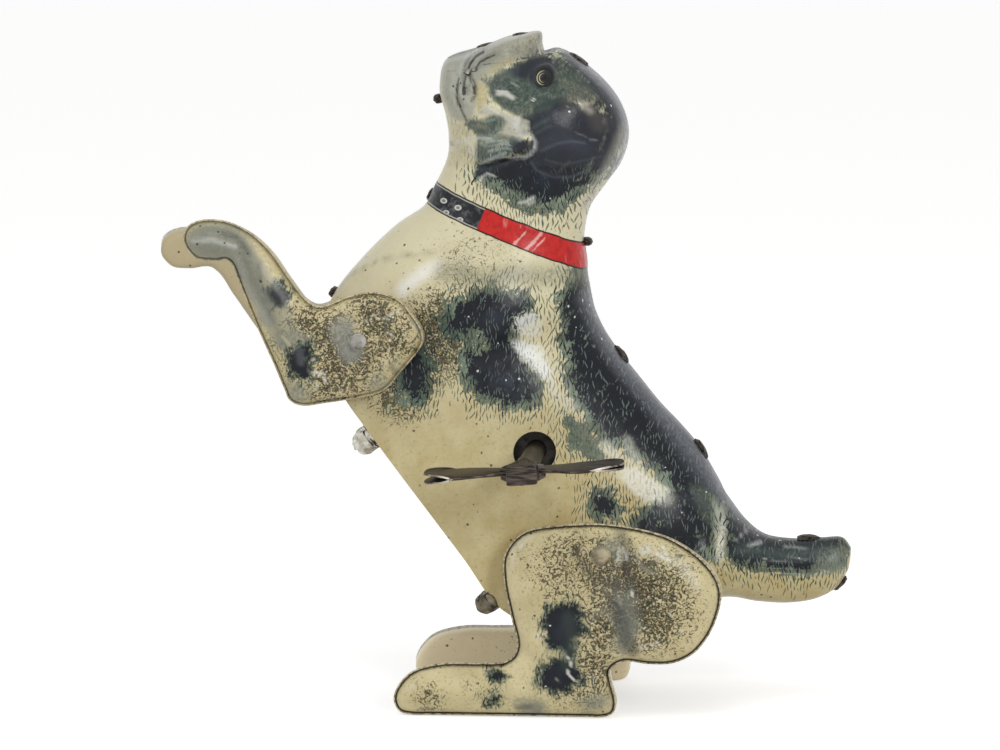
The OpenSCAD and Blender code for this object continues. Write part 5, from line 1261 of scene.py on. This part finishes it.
# from the key's own level frame to its tilt about the arbor
def turnKey(x, z):
    t = math.radians(windingKey["tilt"])
    return (windingKey["axis"][0] + x * math.cos(t) - z * math.sin(t),
            windingKey["axis"][1] + x * math.sin(t) + z * math.cos(t))


def setPoints(piece, x, y, z):
    piece.data.vertices.foreach_set("co", (np.stack([x, y, z], -1) * mm).ravel())
    piece.data.update()


# merge the seam of a wrapped grid and turn its faces outwards
def closeAndFace(piece):
    makeActive(piece)
    bpy.ops.object.mode_set(mode="EDIT")
    bpy.ops.mesh.select_all(action="SELECT")
    bpy.ops.mesh.remove_doubles(threshold=0.00001)
    bpy.ops.mesh.normals_make_consistent(inside=False)
    bpy.ops.object.mode_set(mode="OBJECT")


# one wing: a flattened tube that widens, and parts in two layers at its tip
def keyWing(side):
    split = windingKey["splitLeft"] if side < 0 else windingKey["splitRight"]
    wing, u, v = addGrid("keyWing" + ("Left" if side < 0 else "Right"), 60, 64)
    angle = v * 2 * np.pi
    c, n = np.cos(angle), np.sin(angle)
    grow = np.clip(u / 0.65, 0, 1)
    halfWidth = windingKey["waist"] + (windingKey["width"] - windingKey["waist"]) * grow * grow * (3 - 2 * grow)
    across = np.sign(c) * np.abs(c) ** 0.7
    flare = np.clip((u - 0.86) / 0.14, 0, 1) ** 1.2
    high = windingKey["thick"] * (1.15 - 0.25 * u + 0.1 * np.sin(u * 11 + side)) + split * flare
    up = np.sign(n) * np.abs(n) ** 0.5
    # rounded tips, cut back in a notch along both folded edges
    roundEnd = 1 - 0.24 * np.clip((u - 0.3) / 0.7, 0, 1) * np.abs(across) ** 3
    notch = 1 - 0.13 * np.clip((u - 0.6) / 0.4, 0, 1) * (1 - np.abs(up)) ** 1.5
    reach = 0.6 + (windingKey["half"] - 0.6) * u * roundEnd * notch
    bow = 0.05 * np.sin(u * 6.0 + side * 1.2) + 0.05 * np.sin(across * 4 + u * 5) * u
    middle = (windingKey["front"] + windingKey["back"]) / 2
    x, z = turnKey(side * reach, high * up + bow)
    setPoints(wing, x, middle + halfWidth * across, z)
    # rubbed bright along the folded edges and at the tips, partly a painted highlight
    storeField(wing, "rubAndHighlightField", np.clip(flare * 0.3 + np.abs(across) ** 8 * 0.36 + (u > 0.985) * 0.3, 0, 1))
    closeAndFace(wing)
    applyModifier(wing, "SOLIDIFY", thickness=windingKey["wall"] * mm, offset=-1, use_even_offset=False)
    return wing


# the crimped block at the front, then a neck that narrows to the arbor tube
def keyHub():
    piece, u, v = addGrid("keyHub", 56, 56)
    angle = v * 2 * np.pi
    c, n = np.cos(angle), np.sin(angle)
    front, back = windingKey["blockFront"], windingKey["back"]
    y = front + (back - front) * u
    share = np.clip((y - windingKey["blockBack"]) / windingKey["neckLength"], 0, 1)
    neck = share * share * (3 - 2 * share)
    radius = windingKey["neckRadius"]
    neckWide, neckHigh = windingKey["neckStart"]
    inBlock = y < windingKey["blockBack"]
    power = np.where(inBlock, 0.2, 0.35 + 0.65 * neck)
    wide = np.where(inBlock, windingKey["blockWide"] / 2, neckWide + (radius - neckWide) * neck)
    high = np.where(inBlock, windingKey["blockHigh"] / 2, neckHigh + (radius - neckHigh) * neck)
    capFront = np.clip((y - front) / 0.45, 0, 1)
    shrink = np.sqrt(1 - (1 - capFront) ** 2) * 0.14 + 0.86
    shrink = np.where(u < 0.001, 0.0, shrink)
    dent = 1 - 0.08 * np.exp(-((y - front - 1.7) / 0.4) ** 2) * inBlock + 0.03 * np.sin(angle * 3 + y * 2) * inBlock
    x, z = turnKey(np.sign(c) * np.abs(c) ** power * wide * shrink * dent,
                   np.sign(n) * np.abs(n) ** power * high * shrink)
    setPoints(piece, x, y, z)
    # the block's corners lighter: a painted highlight
    storeField(piece, "rubAndHighlightField", np.clip(0.34 * inBlock * np.abs(c * n) * 2, 0, 1))
    closeAndFace(piece)
    makeActive(piece)
    bpy.ops.object.mode_set(mode="EDIT")
    bpy.ops.mesh.select_all(action="DESELECT")
    bpy.ops.mesh.select_non_manifold()
    bpy.ops.mesh.fill()
    bpy.ops.mesh.select_all(action="SELECT")
    bpy.ops.mesh.normals_make_consistent(inside=False)
    bpy.ops.object.mode_set(mode="OBJECT")
    return piece


for number, part in enumerate([keyWing(-1), keyWing(1), keyHub()]):
    part.data.materials.append(keySteel)
    smooth(part, 45)
    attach(part, "winder")
    if number == 2:
        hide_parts("key")
print("key ready")


# the folded tabs that hold the two halves: x, z, heading, length, and how far they stand out of the seam
seamTabs = {
    "reach": 1.2, "depth": 0.55,
    "places": [(-22.3, 79.2, 88, 1.2, 0.95), (-16.4, 86.2, 16, 2.4, 0.3), (-11.6, 87.6, 2, 2.3, 0.35),
               (-4.1, 84.5, -33, 3.0, 0.32), (-3.2, 60.6, -96, 1.1, 0.95), (-23.6, 66.7, 62, 1.7, 0.35),
               (1.5, 45.7, -52, 2.7, 0.55), (12, 33.3, -60, 2.9, 0.6), (26.4, 21.5, -3, 3.2, 0.6),
               (30.4, 15.7, -135, 2.3, 0.5), (-36.4, 53.6, 55, 1.5, 0.6)],
}


# a cube drawn out over a place, its edges rounded and its faces hammered uneven
def hammeredLump(name, cx, cz, heading, size, lift, knocks):
    deselectAll()
    bpy.ops.mesh.primitive_cube_add(size=1, location=(0, 0, 0))
    lump = bpy.context.object
    lump.name = name
    lump.data.name = name
    bpy.ops.object.mode_set(mode="EDIT")
    bpy.ops.mesh.subdivide(number_cuts=5)
    bpy.ops.object.mode_set(mode="OBJECT")
    turn = math.radians(heading)
    for vertex in lump.data.vertices:
        x, y, z = vertex.co * 2
        shrink = 1 - 0.16 * (x * x * y * y + y * y * z * z + z * z * x * x)
        x, y, z = (a * shrink + random.uniform(-knocks, knocks) for a in (x, y, z))
        along = x * size[0] / 2
        out = z * (1 - 0.25 * x * x) * (1 - 0.15 * y * y) * size[2] / 2 + lift
        vertex.co = Vector((cx + along * math.cos(turn) - out * math.sin(turn), y * size[1] / 2,
                            cz + along * math.sin(turn) + out * math.cos(turn))) * mm
    applyModifier(lump, "BEVEL", width=0.08 * mm, segments=2)
    applyModifier(lump, "SUBSURF", levels=1, render_levels=1)
    smooth(lump, 60)
    return lump


for index, (cx, cz, heading, length, out) in enumerate(seamTabs["places"]):
    high = out + seamTabs["depth"]
    tab = hammeredLump("seamTab%d" % index, cx, cz, heading, (length, seamTabs["reach"] * 2, high),
                       (out - seamTabs["depth"]) / 2, 0.13)
    tab.data.materials.append(tabSteel)
    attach(tab, "body")
print("seam tabs ready")


# the crumpled ends of the motor plates' lugs under the belly edge, each with its foot that turns out below the
# shell: x, y, z, heading, size along, across and out
plateLugs = {"places": [("Front", -31.0, 8.4, 35.25, 126.4, (3.4, 1.7, 4.5), 0.14),
                        ("FrontFoot", -30.4, 10.0, 35.95, 126.4, (3.2, 3.6, 1.7), 0.1),
                        ("Rear", -15.15, 8.4, 14.05, 126.4, (3.0, 1.3, 3.9), 0.07),
                        ("RearFoot", -14.67, 10.0, 14.63, 126.4, (3.0, 3.6, 1.6), 0.06)]}
for label, cx, cy, cz, heading, size, knocks in plateLugs["places"]:
    for sideName, side in (("Left", -1), ("Right", 1)):
        lug = hammeredLump("lug" + label + sideName, cx, cz, heading, size, 0.0, knocks)
        for vertex in lug.data.vertices:
            vertex.co.y += side * cy * mm
        lug.data.materials.append(lugBright if "Front" in label else lugBrown)
        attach(lug, "body")
print("lugs ready")


cadFinish = {
    wornSteel: ["shoulder_rod", "ratchet_wheel", "second_arbor", "fly_arbor", "snail_cam", "kick_lever"],
    rivetSteel: ["hip_axle"],
    oiledAndShadedSteel: ["plate_left", "plate_right", "plate_pillars", "key_arbor"],
    springSteel: ["mainspring", "click_spring", "kick_spring"],
    dullBrass: ["great_wheel", "second_wheel", "click", "governor_fly", "hip_bushes"],
    keySteel: ["key"],
}
for material, nodes in cadFinish.items():
    for node in nodes:
        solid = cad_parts[node]
        for i in range(len(solid.material_slots)):
            solid.material_slots[i].link = "OBJECT"
            solid.material_slots[i].material = material
        if not solid.material_slots:
            solid.data.materials.append(material)


# lamps: name, azimuth and elevation in degrees, distance and size in metres, power in watts
stageSetup = {
    "floorHex": "#ececeb", "floorLift": 0.5, "sky": 0.5, "lampTarget": (-0.01, 0, 0.04),
    "lamps": [("keyLamp", 31, 18, 0.5, (0.1, 0.17), 0.8), ("topLamp", -20, 62, 0.6, (0.35, 0.3), 0.7),
              ("fillLamp", -50, 25, 0.6, (0.3, 0.3), 0.4)],
}


def whiteStage():
    deselectAll()
    bpy.ops.mesh.primitive_plane_add(size=8, location=(0, 0, -0.00005))
    floor = bpy.context.object
    floor.name = "paleFloor"
    material, add = newMaterial("matteWhiteFloor")
    path = add("LightPath").node.outputs
    sees = add.math("MAXIMUM", path["Is Camera Ray"], path["Is Glossy Ray"])
    glow = add.times(sees, stageSetup["floorLift"])
    shader = add("BsdfPrincipled", {
        "Base Color": linear(stageSetup["floorHex"]), "Roughness": 0.9, "Emission Color": (1, 1, 1, 1),
        "Emission Strength": glow})
    add("OutputMaterial", [shader])
    floor.data.materials.append(material)
    world = bpy.data.worlds.new("studio")
    bpy.context.scene.world = world
    world.use_nodes = True
    world.node_tree.nodes.clear()
    add = NodeAdder(world.node_tree)
    path = add("LightPath").node.outputs
    sees = add.math("MAXIMUM", path["Is Glossy Ray"], path["Is Transmission Ray"])
    sees = add.math("MAXIMUM", path["Is Camera Ray"], sees)
    strength = add.fuse(sees, 1 - stageSetup["sky"], stageSetup["sky"])
    sky = add("Background", [(1, 1, 1, 1), strength])
    add("OutputWorld", [sky])


# the way from the dog to a place round it, azimuth from the front of the picture to the right
def directionTo(azimuth, elevation):
    a, e = math.radians(azimuth), math.radians(elevation)
    return Vector((math.sin(a) * math.cos(e), -math.cos(a) * math.cos(e), math.sin(e)))


# a camera or lamp that looks back along a direction
def placeLooking(name, data, target, direction, distance):
    holder = bpy.data.objects.new(name, data)
    holder.location = Vector(target) + direction * distance
    holder.rotation_euler = (-direction).to_track_quat("-Z", "Y").to_euler()
    bpy.context.scene.collection.objects.link(holder)
    return holder


def addLamp(name, azimuth, elevation, distance, size, power):
    lamp = bpy.data.lights.new(name, "AREA")
    lamp.shape = "RECTANGLE"
    lamp.size, lamp.size_y = size
    lamp.energy = power
    placeLooking(name, lamp, stageSetup["lampTarget"], directionTo(azimuth, elevation), distance)


view = {"azimuth": 4.8, "elevation": 7.0, "distance": 0.8, "target": (-0.01447, 0, 0.0428), "lens": 218.88,
        "film": 36}


def addCamera():
    data = bpy.data.cameras.new("camera")
    data.lens, data.sensor_width, data.clip_start = view["lens"], view["film"], 0.01
    direction = directionTo(view["azimuth"], view["elevation"])
    bpy.context.scene.camera = placeLooking("camera", data, view["target"], direction, view["distance"])


whiteStage()
for lamp in stageSetup["lamps"]:
    addLamp(*lamp)
addCamera()
bpy.context.scene.view_settings.view_transform = "Standard"
print("stage ready")
